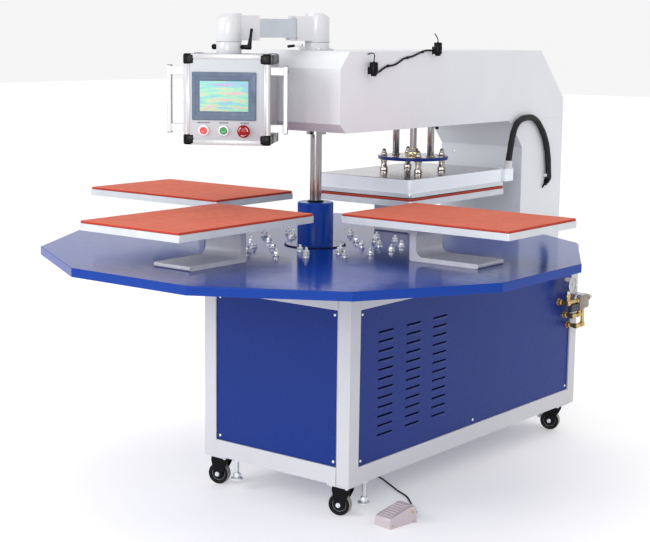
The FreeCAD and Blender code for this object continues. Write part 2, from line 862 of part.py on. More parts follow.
def guide_rods():
    low = size["disc_bottom"] + size["disc_thick"]
    rods = []
    for side in (-1, 1):
        x = side * size["rod_spacing"]
        rod = cylinder("rod_radius", 280, x, size["platen_reach"], low)
        rods.append(rod)
    node(group(*rods), "guide_rods")


def conduit_foot():
    """Where the conduit leaves the socket of the cable box."""
    return size["arm_wide"] / 2 + 14, 895


def conduit():
    """Braided conduit: up from the cable box, over, and down the side of the column."""
    x, y = conduit_foot()
    side = [
        (y, size["cover_top"] + SOCKET_HIGH + 2.6), (901, 1090), (907, 1115), (914, 1145), (925, 1175), (943, 1200),
        (968, 1215), (1000, 1222), (1040, 1224), (1075, 1217), (1104, 1200), (1132, 1174), (1156, 1145),
        (1175, 1108), (1186, 1070), (1192, 1030), (1197, 986),
    ]
    tube_along("braided_conduit", [(x, along, high) for along, high in side], size["conduit_diameter"])


# ---------------------------------------------------------------- controls

def box_frame():
    return BASE.multiply(Placement(Vector(size["box_x"], size["box_y"], size["box_bottom"]),
                                   spin(size["box_turn"])))


BUTTONS = [("stop_button", -72), ("start_button", -9)]
EMERGENCY_X = 56.5
BUTTON_Z = 43
BEZEL_X = -8
BEZEL_Z = 75


def control_box():
    """Enclosure of aluminium profile and sheet, its front drilled for the buttons."""
    frame = box_frame()
    wall = 4
    shell = box("box_wide", "box_deep", "box_high", frame=frame)
    shell = rounded(shell, 9, upright)
    cavity = box("box_wide - %d" % (2 * wall), "box_deep - %d" % (2 * wall), "box_high - %d" % (2 * wall),
                 z=wall, frame=frame)
    front = -size["box_deep"] / 2
    inward = toward((0, 1, 0))
    bores = [cylinder(11.5, 20, x, front - 5, BUTTON_Z, inward, frame) for name, x in BUTTONS]
    bores.append(cylinder(10.5, 20, EMERGENCY_X, front - 5, BUTTON_Z, inward, frame))
    node(cut(shell, cavity, *bores), "control_box")
    bezel_high = 148
    glass_wide = 150
    glass_high = 91
    glass_z = BEZEL_Z + (bezel_high - glass_high) / 2
    bezel = box(201, 6, bezel_high, BEZEL_X, front - 3, BEZEL_Z, frame=frame)
    glass = box(glass_wide, 4, glass_high, BEZEL_X, front - 4, glass_z, frame=frame)
    screen = box(glass_wide, 2, glass_high, BEZEL_X, front - 3, glass_z, frame=frame)
    node(group(cut(bezel, glass), screen), "touch_screen")


def box_handles():
    """Bar handles on standoffs at both sides of the box, close to its front edge."""
    frame = box_frame()
    stand_off = 47
    y = -78
    bar_low = 35
    bar_long = 208
    block_high = 24
    block_long = stand_off - 4
    handles = []
    for side in (-1, 1):
        x_face = side * size["box_wide"] / 2
        bar = box(12, 24, bar_long, x_face + side * stand_off, y, bar_low, frame=frame)
        blocks = [box(block_long, 22, block_high, x_face + side * block_long / 2, y, z, frame=frame)
                  for z in (bar_low + 4, bar_low + bar_long - 4 - block_high)]
        handles.append(fuse(bar, *blocks))
    node(group(*handles), "box_handles")


def buttons():
    frame = box_frame()
    front = -size["box_deep"] / 2
    outward = toward((0, -1, 0))
    for name, x in BUTTONS:
        cap = cylinder(11, 30, x, front + 22, BUTTON_Z, outward, frame)
        node(rounded(cap, 1.5, lambda e: e.Length > 30), name)
    stem = cylinder(10, 36, EMERGENCY_X, front + 22, BUTTON_Z, outward, frame)
    neck = cone(11, 20, 8, EMERGENCY_X, front - 12, BUTTON_Z, outward, frame)
    head = cylinder(20, 9, EMERGENCY_X, front - 20, BUTTON_Z, outward, frame)
    node(fuse(stem, neck, head), "emergency_button")


BASE_HIGH = 26
ELBOW_GAP = 0.5
FAR_ELBOW_Z = 1496
BOX_LEVER_Z = 1480
BOX_LEVER_SIDE = 18
BASE_LEVER_SIDE = 218
BASE_LEVER_REACH = 52


SUPPORT_PIVOT = (0, 0)
SUPPORT_END = (-128, -284)


def support_run():
    """Length and heading of the tube between the two elbow axes."""
    pivot = Vector(*SUPPORT_PIVOT, 0)
    end = Vector(*SUPPORT_END, 0)
    run = end - pivot
    return run.Length, math.degrees(math.atan2(run.y, run.x))


def elbow(place, low, high, turn, sleeve, tube_space):
    """Round elbow with a square sleeve, bored for the tube; its cap slopes down towards turn."""
    x, y = place
    slope_frame = BASE.multiply(Placement(Vector(x, y, low + high), spin(turn)))
    slope = box(160, 160, 80, turn=Rotation(Vector(0, 1, 0), 24), frame=slope_frame)
    barrel = cut(cylinder("elbow_radius", high, x, y, low), slope)
    return cut(fuse(barrel, sleeve), tube_space)


def support():
    """Swinging tube over the arm's nose, with a sleeved elbow at each end."""
    long, heading = support_run()
    base_top = size["arm_top"] + BASE_HIGH
    frame = BASE.multiply(Placement(Vector(*SUPPORT_PIVOT, size["tube_bottom"]), spin(heading)))
    inset = 34
    tube_long = long - 2 * inset
    middle = long / 2
    outer = box(tube_long, "tube_wide", "tube_high", middle, frame=frame)
    inner = box(tube_long, "tube_wide - 2 * tube_wall", "tube_high - 2 * tube_wall", middle,
                z=size["tube_wall"], frame=frame)
    node(cut(outer, inner), "support_tube")
    near_end = 84
    far_end = 217
    sleeve_low = (size["tube_high"] - size["sleeve_high"]) / 2
    near_sleeve = box(near_end, "sleeve_wide", "sleeve_high", near_end / 2, z=sleeve_low, frame=frame)
    latch = box(20, 18, 10, near_end + 8, z=size["tube_high"] + 0.3, frame=frame)
    rest = box(24, 30, 8, near_end + 10, z=-8.3, frame=frame)
    far_middle = (long + far_end) / 2
    far_sleeve = box(long - far_end, "sleeve_wide", "sleeve_high", far_middle, z=sleeve_low, frame=frame)
    space = box(tube_long, "tube_wide", "tube_high", middle, frame=frame)
    far_space = box(tube_long, "tube_wide", "tube_high", middle, frame=frame)
    near_parts = fuse(near_sleeve, latch, rest)
    near = elbow(SUPPORT_PIVOT, base_top + ELBOW_GAP, 92, heading + 180, near_parts, space)
    far = elbow(SUPPORT_END, FAR_ELBOW_Z, 88, heading, far_sleeve, far_space)
    node(group(near, far), "support_elbows")


def support_base():
    """Flanged foot on the arm, with a lug for the clamping screw of the support."""
    x, y = SUPPORT_PIVOT
    low = size["arm_top"]
    flange = box(76, 76, 5, x, y, low)
    foot = cylinder("elbow_radius", BASE_HIGH, x, y, low)
    frame = BASE.multiply(Placement(Vector(x, y, low), spin(BASE_LEVER_SIDE)))
    lug = box(30, 16, 8, BASE_LEVER_REACH - 5, z=4, frame=frame)
    bore = cylinder(3.05, 12, BASE_LEVER_REACH, z=2, frame=frame)
    node(cut(fuse(flange, foot, lug), bore), "support_base")


def base_lever():
    """Clamping lever that turns on an upright screw: hub, thin arm and barrel grip."""
    x, y = SUPPORT_PIVOT
    frame = BASE.multiply(Placement(Vector(x, y, size["arm_top"]), spin(BASE_LEVER_SIDE)))
    outward = toward((1, 0, -0.12))
    screw = cylinder(3, 10, BASE_LEVER_REACH, z=8, frame=frame)
    hub = cylinder(6.5, 8, BASE_LEVER_REACH, z=12.3, frame=frame)
    arm = cylinder(2.5, 36, BASE_LEVER_REACH, z=17, turn=outward, frame=frame)
    grip = cylinder(4.5, 24, BASE_LEVER_REACH + 20, z=14.6, turn=outward, frame=frame)
    node(fuse(screw, hub, arm, grip), "base_lever")


def box_swivel():
    """Neck on top of the box, turning under the far elbow, with the head of its clamping screw."""
    x, y = SUPPORT_END
    low = size["box_bottom"] + size["box_high"]
    radius = size["elbow_radius"]
    neck = cylinder("elbow_radius", FAR_ELBOW_Z - ELBOW_GAP - low, x, y, low)
    frame = BASE.multiply(Placement(Vector(x, y, BOX_LEVER_Z), spin(BOX_LEVER_SIDE)))
    outward = toward((1, 0, 0))
    head = cylinder(7, 16, -radius - 15, turn=outward, frame=frame)
    bore = cylinder(4.05, 30, radius - 28, turn=outward, frame=frame)
    node(cut(fuse(neck, head), bore), "box_swivel")


def box_lever():
    """Clamping lever on the screw through the box swivel, its handle standing up."""
    x, y = SUPPORT_END
    frame = BASE.multiply(Placement(Vector(x, y, BOX_LEVER_Z), spin(BOX_LEVER_SIDE)))
    outward = toward((1, 0, 0))
    face = size["elbow_radius"] + 1
    screw = cylinder(4, 28, face - 25, turn=outward, frame=frame)
    boss = cylinder(7.5, 34, face, turn=outward, frame=frame)
    grip = cone(7, 4.5, 58, face + 28, turn=Rotation(Vector(0, 1, 0), 8), frame=frame)
    node(fuse(screw, boss, grip), "box_lever")


# ---------------------------------------------------------------- laser pointers

LASER_PLACES = [(41, 1397), (405, 1459)]


def laser_pods():
    """Two aiming lasers held on the arm's right side, and the twisted lead between them."""
    side = size["arm_wide"] / 2
    stand_off = side + 19
    pods = []
    for y, z in LASER_PLACES:
        foot = box(6, 26, 30, side + 3, y, z - 4)
        stem = cylinder(14, 40, stand_off, y, z)
        stem = rounded(stem, 4, lambda e: e.Length > 60)
        lens = cylinder(8, 10, stand_off, y, z - 6)
        pods.append(fuse(foot, stem, lens))
    node(group(*pods), "laser_pods")
    x = side + 5
    tube_along("laser_cable", [
        (x, 60, 1410), (x + 1, 76, 1403), (x, 94, 1405), (x - 1, 114, 1416), (x, 140, 1423), (x, 168, 1424),
        (x, 193, 1431), (x + 1, 220, 1445), (x, 250, 1449), (x, 280, 1453), (x, 310, 1462),
        (x, 337, 1469), (x, 362, 1473), (x, 390, 1472),
    ], 6)


# ---------------------------------------------------------------- air supply

AIR_X = 343
PIPE_RADIUS = 6.8
FITTING_SIDE = 20
ELBOW_SIDE = 17


def pipe_run(wall_x, y, z, end_y, flange_radius):
    """Brass pipe from a flange on the side panel out to a corner block, then towards the rear."""
    bite = FITTING_SIDE / 2 - 2
    sideways = toward((1, 0, 0))
    return [
        cylinder(flange_radius, 6, wall_x, y, z, sideways),
        hexagon(20, 10, wall_x + 5, y, z, sideways),
        cylinder(PIPE_RADIUS, AIR_X - wall_x - bite - 4, wall_x + 4, y, z, sideways),
        box(FITTING_SIDE, FITTING_SIDE, FITTING_SIDE, AIR_X, y, z - FITTING_SIDE / 2),
        cylinder(PIPE_RADIUS, end_y - y - bite, AIR_X, y + bite, z, toward((0, 1, 0))),
    ]


def rising_end(y, z, top):
    """Elbow block at the rear end of a pipe run and the short pipe up into the regulator."""
    bite = ELBOW_SIDE / 2 - 2
    return [
        box(ELBOW_SIDE, ELBOW_SIDE, ELBOW_SIDE, AIR_X, y, z - ELBOW_SIDE / 2),
        cylinder(PIPE_RADIUS, top - z - bite, AIR_X, y, z + bite),
    ]


def air_supply():
    """Regulator hung from a bracket on the right rear post, its valve coil, gauge and brass pipes."""
    post_x = size["cabinet_wide"] / 2
    panel_x = post_x - size["panel_inset"]
    x = AIR_X
    body_front = 1197
    body_rear = 1267
    body_mid = (body_front + body_rear) / 2
    low = 484
    top = 541
    knob_z = 527
    inlet_y = 1255
    bracket_y = 1230
    plate = box(4, 44, 45, post_x + 2, bracket_y, top - 41)
    shelf = box(44, 54, 3, post_x + 22, bracket_y, top)
    body = box(20, body_rear - body_front, top - low, x, body_mid, low)
    body = cut(body, box(22, 50, 8, x, body_rear - 17, low))
    coil = box(16, 62, 30, x - 2, body_front - 30.5, low)
    inlet = cylinder(5, 24, x, inlet_y, low)
    node(cut(fuse(plate, shelf, body, coil), inlet), "air_regulator")
    stem = cylinder(9, 26, x, body_rear + 0.3, knob_z, toward((0, 1, 0)))
    node(rounded(stem, 1.5, lambda e: e.Length > 50), "regulator_knob")
    gauge_y = 1114
    gauge_z = 597
    tee_z = 524
    case_radius = 30
    bite = FITTING_SIDE / 2 - 2
    riser = cylinder(PIPE_RADIUS, gauge_z - case_radius + 2 - tee_z - bite, x, gauge_y, tee_z + bite)
    main = fuse(*pipe_run(panel_x, gauge_y, tee_z, body_front - 0.2, 14.5), riser)
    middle_y = 1206
    middle_z = 469
    lower_y = 1234
    lower_z = 426
    middle = fuse(*pipe_run(panel_x, 1155, middle_z, middle_y - 6, 12.5),
                  *rising_end(middle_y, middle_z, low - 0.3))
    lower = fuse(*pipe_run(panel_x, 1186, lower_z, lower_y - 6, 12.5),
                 *rising_end(lower_y, lower_z, low + 7.7))
    node(group(main, middle, lower), "air_fittings")
    sideways = toward((1, 0, 0))
    case = cylinder(case_radius - 2, 27, 330, gauge_y, gauge_z, sideways)
    rim = cylinder(case_radius, 6, 357, gauge_y, gauge_z, sideways)
    socket = cylinder(PIPE_RADIUS + 2, 12, x, gauge_y, gauge_z - case_radius - 8)
    stem_space = cylinder(PIPE_RADIUS + 0.05, 18, x, gauge_y, gauge_z - case_radius - 12)
    node(cut(fuse(case, rim, socket), stem_space), "pressure_gauge")


# ---------------------------------------------------------------- running gear

def caster_places():
    x = size["caster_x"]
    return [(-x, size["caster_front"]), (x, size["caster_front"]),
            (-x, size["caster_rear"]), (x, size["caster_rear"])]


CASTER_HEADING = 197
FOOT_PLACES = [(-185, -178, 35), (284, -92, 28), (-284, 1120, 31), (185, 1228, 31)]
FOOT_STUD = 7


def foot_bores():
    """Holes in the lower wall of the bottom rails for the screws of the levelling feet."""
    return [cylinder(FOOT_STUD + 0.4, 8, x, y, size["frame_bottom"] - 2) for x, y, low in FOOT_PLACES]


def caster(number, x, y):
    """Swivel fork with its axle, and the wheel that turns on it."""
    frame = BASE.multiply(Placement(Vector(x, y, 0), spin(CASTER_HEADING)))
    trail = size["caster_trail"]
    axle_z = size["wheel_radius"]
    top = size["frame_bottom"] - 6.5
    body = new_body(frame)
    pad(body, outline(body, [
        (-26, top, 2), (-26, top - 12, 6), (trail - 14, axle_z, 14), (trail + 2, axle_z - 14, 12),
        (trail + 16, axle_z + 2, 12), (40, top - 14, 8), (34, top, 2),
    ], "XZ_Plane"), "wheel_wide + 14", midplane=True)
    pocket(body, rectangle(body, 120, 90, "XZ_Plane", y="wheel_radius * 2 - 40 - 1"), "wheel_wide + 4",
           midplane=True)
    pad(body, circle(body, 5, "XZ_Plane", trail, axle_z), "wheel_wide + 16", midplane=True)
    kingpin = cylinder(8, 12, z=top - 6, frame=frame)
    node(fuse(body, kingpin), "caster_fork_%d" % number)
    wheel = new_body(frame, x=trail, z=axle_z, turn=toward((0, 1, 0)))
    radius = size["wheel_radius"]
    half = size["wheel_wide"] / 2
    revolve(wheel, [
        (5.05, -half), (13, -half, 1), (13, -half + 3, 1), (radius - 9, -half + 3, 2), (radius - 7, -half, 1),
        (radius, -half, 6), (radius, half, 6), (radius - 7, half, 1), (radius - 9, half - 3, 2),
        (13, half - 3, 1), (13, half, 1), (5.05, half),
    ])
    node(wheel, "caster_wheel_%d" % number)


def levelling_feet():
    """Four screw feet, wound up clear of the floor; one node, because they are adjusted as a set."""
    disc_thick = 10
    nut_high = 12
    top = 144
    feet = []
    for x, y, low in FOOT_PLACES:
        nut_low = low + disc_thick
        disc = cylinder(21, disc_thick, x, y, low)
        nut = hexagon(24, nut_high, x, y, nut_low)
        stud = cylinder(FOOT_STUD, top - nut_low - 5, x, y, nut_low + 5)
        feet.append(fuse(disc, nut, stud))
    node(group(*feet), "levelling_feet")


# ---------------------------------------------------------------- pedal

def pedal_frame():
    return BASE.multiply(Placement(Vector(size["pedal_x"], size["pedal_y"], 0), spin(size["pedal_turn"])))


def pedal():
    """Cast foot switch: a tray with side cheeks, a hinge pin at the back and a ribbed treadle."""
    frame = pedal_frame()
    half = size["pedal_long"] / 2
    base = new_body(frame)
    pad(base, outline(base, [
        (-half, 0, 3), (half, 0, 3), (half, 52, 12), (half - 26, 54, 6), (-half + 4, 34, 8), (-half, 24, 4),
    ], "YZ_Plane"), "pedal_wide", midplane=True)
    pocket(base, outline(base, [
        (-half + 7, 12, 3), (half - 8, 12, 3), (half - 8, 80), (-half + 7, 80),
    ], "YZ_Plane"), "pedal_wide - 10", midplane=True)
    pin = cylinder(3, "pedal_wide - 2", -size["pedal_wide"] / 2 + 1, half - 20, 36, toward((1, 0, 0)), frame)
    node(group(base, pin), "pedal_base")
    treadle = new_body(frame)
    pad(treadle, outline(treadle, [
        (half - 29, 44, 2), (-half + 9, 26, 2), (-half + 9, 34, 2), (half - 30, 58, 3), (half - 12, 58, 4),
        (half - 12, 30, 2), (half - 29, 30, 2),
    ], "YZ_Plane"), "pedal_wide - 13", midplane=True)
    across = toward((1, 0, 0))
    treadle_bore = cylinder(3.05, "pedal_wide", -size["pedal_wide"] / 2, half - 20, 36, across, frame)
    node(cut(treadle, treadle_bore), "pedal_treadle")


def pedal_cable():
    """Cable from the gland under the cabinet, down to the floor and across to the pedal."""
    low = size["cable_diameter"] / 2
    x = size["gland_x"]
    y = size["gland_y"]
    gland_low = size["frame_bottom"] - 23
    entry = BASE.inverse().multiply(pedal_frame()).multVec(Vector(0, size["pedal_long"] / 2, 13))
    tube_along("pedal_cable", [
        (x, y, gland_low), (-61, 258, 58), (-57, 258, 32), (-40, 257, 11), (-13, 254, low + 1),
        (20, 252, low), (58, 249, low), (97, 238, low), (136, 222, low), (174, 196, low), (214, 172, low),
        (250, 148, low), (286, 132, low), (318, 110, low), (346, 82, low), (374, 52, low),
        (403, 24, low), (430, 0, low + 3),
        (entry.x + 3.8, entry.y + 27, entry.z), (entry.x, entry.y, entry.z),
    ], size["cable_diameter"])
    nut = hexagon(20, 6, x, y, size["frame_bottom"] - 5)
    dome = cone(6, 9, 18, x, y, gland_low)
    thread = cylinder(7.5, 12, x, y, size["frame_bottom"] - 2)
    node(fuse(nut, dome, thread), "cable_gland")


# ---------------------------------------------------------------- build, check and write

def build():
    table_plate()
    hub_sleeve()
    ring_gear()
    bearing_ring()
    drive_pinion()
    index_motor()
    centre_post()
    hub_bolts()
    stations()
    cabinet_frame()
    panels()
    panel_screws()
    deck_plate()
    electrics_box()
    column_shell()
    arm_shell()
    press_cylinder()
    guide_bushes()
    heat_platen()
    platen_cover()
    pressure_disc()
    adjusting_bolts()
    piston_rod()
    guide_rods()
    conduit()
    control_box()
    box_handles()
    buttons()
    support()
    support_base()
    base_lever()
    box_swivel()
    box_lever()
    laser_pods()
    air_supply()
    for number, (x, y) in enumerate(caster_places(), 1):
        caster(number, x, y)
    levelling_feet()
    pedal()
    pedal_cable()


def check():
    doc.recompute()
    for obj in doc.Objects:
        if "Invalid" in obj.State or "Error" in obj.State:
            raise ValueError("%s (%s) failed" % (obj.Label, obj.Name))
    for obj in nodes:
        if obj.Shape.isNull() or not obj.Shape.isValid():
            raise ValueError("%s has no valid shape" % obj.Label)


build()
check()
os.makedirs("parts", exist_ok=True)
for piece in nodes:
    piece.Shape.exportStep("parts/%s.step" % piece.Label)
print(len(nodes), "sub-parts written")
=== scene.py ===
import json
import math
import random

import bmesh
import bpy
from mathutils import Matrix, Vector


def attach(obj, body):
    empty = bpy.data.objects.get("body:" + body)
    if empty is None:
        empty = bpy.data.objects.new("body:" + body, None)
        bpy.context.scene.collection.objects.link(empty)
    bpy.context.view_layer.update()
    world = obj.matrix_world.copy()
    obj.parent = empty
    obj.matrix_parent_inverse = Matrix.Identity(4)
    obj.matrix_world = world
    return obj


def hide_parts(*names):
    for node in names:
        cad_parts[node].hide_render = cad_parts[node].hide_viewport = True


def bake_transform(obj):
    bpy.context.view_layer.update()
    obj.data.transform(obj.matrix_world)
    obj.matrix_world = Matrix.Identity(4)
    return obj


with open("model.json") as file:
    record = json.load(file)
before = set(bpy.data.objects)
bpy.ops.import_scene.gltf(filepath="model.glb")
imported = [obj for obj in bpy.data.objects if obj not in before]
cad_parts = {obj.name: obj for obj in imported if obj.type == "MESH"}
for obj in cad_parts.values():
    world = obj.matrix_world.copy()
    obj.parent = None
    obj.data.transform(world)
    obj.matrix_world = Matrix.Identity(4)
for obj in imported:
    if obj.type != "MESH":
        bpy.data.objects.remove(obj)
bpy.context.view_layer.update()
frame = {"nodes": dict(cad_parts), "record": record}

# A four-station rotary heat press, drawn round its CAD frame. Pieces are built in millimetres in a
# local frame and end up in metres, +Z up, with the origin on the floor under the middle of the machine.

AXIS_Y = -0.2265
MILLIMETRE = 0.001
SIDES = (-1, 1)
CORNERS = [(sx, sy) for sx in SIDES for sy in SIDES]

# Heights and places in millimetres, from the floor and from the carousel axis.
TABLE_TOP = 835
PAD_BOTTOM = 971
STATION_REACH = 558.6
PANEL_X = 302
CASTER_HEADING = 197
LID_BOTTOM = 1041.6
LID_TOP = 1043.4
DISC_TOP = 1097.2
ARM_BOTTOM = 1205.6
LASER_X = 199
LASERS = ((41, 1397), (405, 1459))
BOX_PLACE = (-116, -284, 1181, 32.2)
BOX_LEVER_PLACE = (-128, -284, 1480, 18)
BASE_LEVER_PLACE = (0, 0, 1470, 218)
ELBOW_SEAM_Z = 1496.3
AIR_X = 343
GAUGE_Y = 1114
GAUGE_Z = 597
REGULATOR_Z = 527
PEDAL_PLACE = (430, -118, 0, -8)
FLOOR_HALF = 30
random.seed(7)


def at(x, y, z):
    """Point given in millimetres from the carousel axis, in the row frame."""
    return Vector((x / 1000, y / 1000 + AXIS_Y, z / 1000))


def local(x=0, y=0, z=0, turn=0):
    """Frame in millimetres at a point from the carousel axis, turned about Z by degrees."""
    turned = Matrix.Rotation(math.radians(turn), 4, "Z")
    return Matrix.Translation(at(x, y, z)) @ turned @ Matrix.Scale(MILLIMETRE, 4)


def facing(direction):
    """Rotation that takes +Z to the direction."""
    return Vector(direction).to_track_quat("Z", "Y").to_matrix().to_4x4()


def shift(x, y, z):
    """Plain move in millimetres."""
    return Matrix.Translation((x, y, z))


def there(x, y, z, direction=(0, 0, 1)):
    """Local place of a turned detail whose own Z points along the direction."""
    return shift(x, y, z) @ facing(direction)


# ---------------------------------------------------------------- camera, light and floor

def camera():
    """Looks down slightly at the front right corner of the cabinet from nearly five metres."""
    azimuth = math.radians(38.0)
    down = math.radians(9.29)
    roll = math.radians(0.65)
    flat = math.cos(down)
    back = Vector((math.sin(azimuth) * flat, -math.cos(azimuth) * flat, math.sin(down)))
    level = Vector((math.cos(azimuth), math.sin(azimuth), 0))
    rise = back.cross(level)
    right = math.cos(roll) * level + math.sin(roll) * rise
    up = math.cos(roll) * rise - math.sin(roll) * level
    data = bpy.data.cameras.new("camera")
    data.sensor_width = 36
    data.lens = 81.07
    data.clip_end = 60
    obj = bpy.data.objects.new("camera", data)
    bpy.context.scene.collection.objects.link(obj)
    place = Vector((2.97893, -3.9844, 1.53084))
    obj.matrix_world = Matrix.Translation(place) @ Matrix((right, up, back)).transposed().to_4x4()
    bpy.context.scene.camera = obj


def area_light(name, place, target, size, power, tint=(1, 1, 1)):
    data = bpy.data.lights.new(name, "AREA")
    data.shape = "RECTANGLE"
    data.size, data.size_y = size
    data.energy = power
    data.color = tint
    obj = bpy.data.objects.new(name, data)
    bpy.context.scene.collection.objects.link(obj)
    obj.location = place
    obj.rotation_euler = (Vector(place) - Vector(target)).to_track_quat("Z", "Y").to_euler()


def studio():
    """Near-white sweep and sky with large soft lamps, the strongest high on the left."""
    bpy.context.scene.view_settings.view_transform = "Standard"
    world = bpy.data.worlds.new("studio")
    bpy.context.scene.world = world
    world.use_nodes = True
    background = world.node_tree.nodes["Background"]
    background.inputs["Color"].default_value = (0.925, 0.92, 0.925, 1)
    background.inputs["Strength"].default_value = 1.0
    middle = (0, 0, 0.9)
    area_light("key", (-2.2, -4.8, 2.8), middle, (2.6, 2.2), 106)
    area_light("front", (2.3, -5.0, 1.7), middle, (2.2, 1.8), 72)
    area_light("side", (5.0, 0.6, 2.4), middle, (2.0, 2.4), 10, (0.96, 0.97, 1.0))
    area_light("top", (0, 0.3, 4.6), middle, (3.0, 3.0), 22)
    mesh = bpy.data.meshes.new("floor")
    half = FLOOR_HALF
    rim = [(-half, -half, 0), (half, -half, 0), (half, half, 0), (-half, half, 0)]
    mesh.from_pydata(rim, [], [(0, 1, 2, 3)])
    floor = bpy.data.objects.new("floor", mesh)
    bpy.context.scene.collection.objects.link(floor)
    floor.location.z = -0.0006
    floor.data.materials.append(floor_paint())


# ---------------------------------------------------------------- materials

MATERIALS = {}


class Finish:
    """Principled material with helpers for the procedural detail that drives it."""

    def __init__(self, name, roughness=0.4, metallic=0.0, **sockets):
        self.material = bpy.data.materials.new(name)
        MATERIALS[name] = self.material
        self.material.use_nodes = True
        self.nodes = self.material.node_tree.nodes
        self.links = self.material.node_tree.links
        self.bsdf = self.nodes["Principled BSDF"]
        self.bsdf.inputs["Roughness"].default_value = roughness
        self.bsdf.inputs["Metallic"].default_value = metallic
        for key, value in sockets.items():
            self.bsdf.inputs[key.replace("_", " ")].default_value = value
        self.position = self.nodes.new("ShaderNodeTexCoord").outputs["Object"]

    def stretched(self, scale):
        mapping = self.nodes.new("ShaderNodeMapping")
        mapping.inputs["Scale"].default_value = scale
        self.links.new(self.position, mapping.inputs["Vector"])
        return mapping.outputs["Vector"]

    def noise(self, scale, detail=3.0, stretch=None):
        node = self.nodes.new("ShaderNodeTexNoise")
        node.inputs["Scale"].default_value = scale
        node.inputs["Detail"].default_value = detail
        node.inputs["Roughness"].default_value = 0.55
        self.links.new(self.stretched(stretch) if stretch else self.position, node.inputs["Vector"])
        return node.outputs["Fac"]

    def cells(self, scale):
        node = self.nodes.new("ShaderNodeTexVoronoi")
        node.inputs["Scale"].default_value = scale
        self.links.new(self.position, node.inputs["Vector"])
        return node.outputs["Distance"]

    def ramp(self, source, low, high, start=0.35, stop=0.65):
        """Colour or grey value that runs from low to high as the source does from start to stop."""
        node = self.nodes.new("ShaderNodeValToRGB")
        first, last = node.color_ramp.elements
        first.position, last.position = start, stop
        first.color = (*low, 1) if isinstance(low, tuple) else (low, low, low, 1)
        last.color = (*high, 1) if isinstance(high, tuple) else (high, high, high, 1)
        self.links.new(source, node.inputs["Fac"])
        return node.outputs["Color"]

    def mix(self, factor, first, second):
        node = self.nodes.new("ShaderNodeMix")
        node.data_type = "RGBA"
        self.links.new(factor, node.inputs["Factor"])
        for value, socket in ((first, node.inputs[6]), (second, node.inputs[7])):
            if isinstance(value, tuple):
                socket.default_value = (*value, 1)
            else:
                self.links.new(value, socket)
        return node.outputs[2]

    def combine(self, first, second, operation="ADD", factor=1.0):
        node = self.nodes.new("ShaderNodeMath")
        node.operation = operation
        self.links.new(first, node.inputs[0])
        if isinstance(second, float):
            node.inputs[1].default_value = second
        else:
            scaled = self.nodes.new("ShaderNodeMath")
            scaled.operation = "MULTIPLY"
            scaled.inputs[1].default_value = factor
            self.links.new(second, scaled.inputs[0])
            self.links.new(scaled.outputs[0], node.inputs[1])
        return node.outputs[0]

    def facing_up(self):
        """1 on faces that look up, 0 on upright ones."""
        normal = self.nodes.new("ShaderNodeNewGeometry").outputs["Normal"]
        split = self.nodes.new("ShaderNodeSeparateXYZ")
        self.links.new(normal, split.inputs[0])
        return split.outputs["Z"]

    def worn_edge(self, radius):
        """1 near sharp edges, from the difference of the rounded and the plain normal."""
        bevel = self.nodes.new("ShaderNodeBevel")
        bevel.inputs["Radius"].default_value = radius
        normal = self.nodes.new("ShaderNodeNewGeometry").outputs["Normal"]
        dot = self.nodes.new("ShaderNodeVectorMath")
        dot.operation = "DOT_PRODUCT"
        self.links.new(bevel.outputs[0], dot.inputs[0])
        self.links.new(normal, dot.inputs[1])
        turned = self.combine(dot.outputs["Value"], -1.0, "MULTIPLY")
        lifted = self.combine(turned, 1.0, "ADD")
        return self.ramp(lifted, 0.0, 1.0, 0.02, 0.25)

    def colour(self, source):
        self.links.new(source, self.bsdf.inputs["Base Color"])
        return self

    def rough(self, source, low, high):
        self.links.new(self.ramp(source, low, high), self.bsdf.inputs["Roughness"])
        return self

    def bump(self, source, depth, strength=1.0):
        """Bump with the depth in metres."""
        node = self.nodes.new("ShaderNodeBump")
        node.inputs["Distance"].default_value = depth
        node.inputs["Strength"].default_value = strength
        self.links.new(source, node.inputs["Height"])
        self.links.new(node.outputs["Normal"], self.bsdf.inputs["Normal"])
        return self


def scaled(colour, factor):
    return tuple(min(1.0, c * factor) for c in colour)


def enamel(name, colour, roughness=0.3, coat=0.25, peel=0.00006, dust=0.06, gloss=0.5):
    """Sprayed or powder-coated metal: orange peel, faint mottling, dust lying on upward faces."""
    finish = Finish(name, roughness, Coat_Weight=coat, Coat_Roughness=0.08, Specular_IOR_Level=gloss)
    broad = finish.ramp(finish.noise(5, 4), scaled(colour, 0.985), scaled(colour, 1.015))
    fine = finish.noise(420, 2)
    powder = finish.combine(finish.facing_up(), finish.noise(60, 5), "MULTIPLY")
    dusty = finish.mix(finish.ramp(powder, 0.0, dust, 0.45, 0.75), broad, (0.62, 0.62, 0.62))
    edge = finish.mix(finish.worn_edge(0.0016), dusty, tuple(0.85 * c + 0.06 for c in colour))
    finish.colour(edge).rough(finish.noise(30, 4), roughness - 0.03, roughness + 0.04)
    return finish.bump(fine, peel).material


def bare_metal(name, colour, roughness, stretch=(1, 1, 1), grain=700, depth=0.00004,
               tarnish=0.12, metal=1.0):
    """Uncoated metal with directional grain and uneven tarnish."""
    finish = Finish(name, roughness, metal)
    lines = finish.noise(grain, 3, stretch)
    stain = finish.noise(14, 6)
    shade = finish.mix(finish.ramp(stain, 0.0, 1.0, 0.3, 0.75), scaled(colour, 1.0 + tarnish / 2),
                       scaled(colour, 1.0 - tarnish))
    finish.colour(finish.mix(finish.ramp(lines, 0.0, 0.5), shade, scaled(colour, 0.9)))
    finish.rough(lines, max(0.04, roughness - 0.08), roughness + 0.1)
    return finish.bump(lines, depth).material


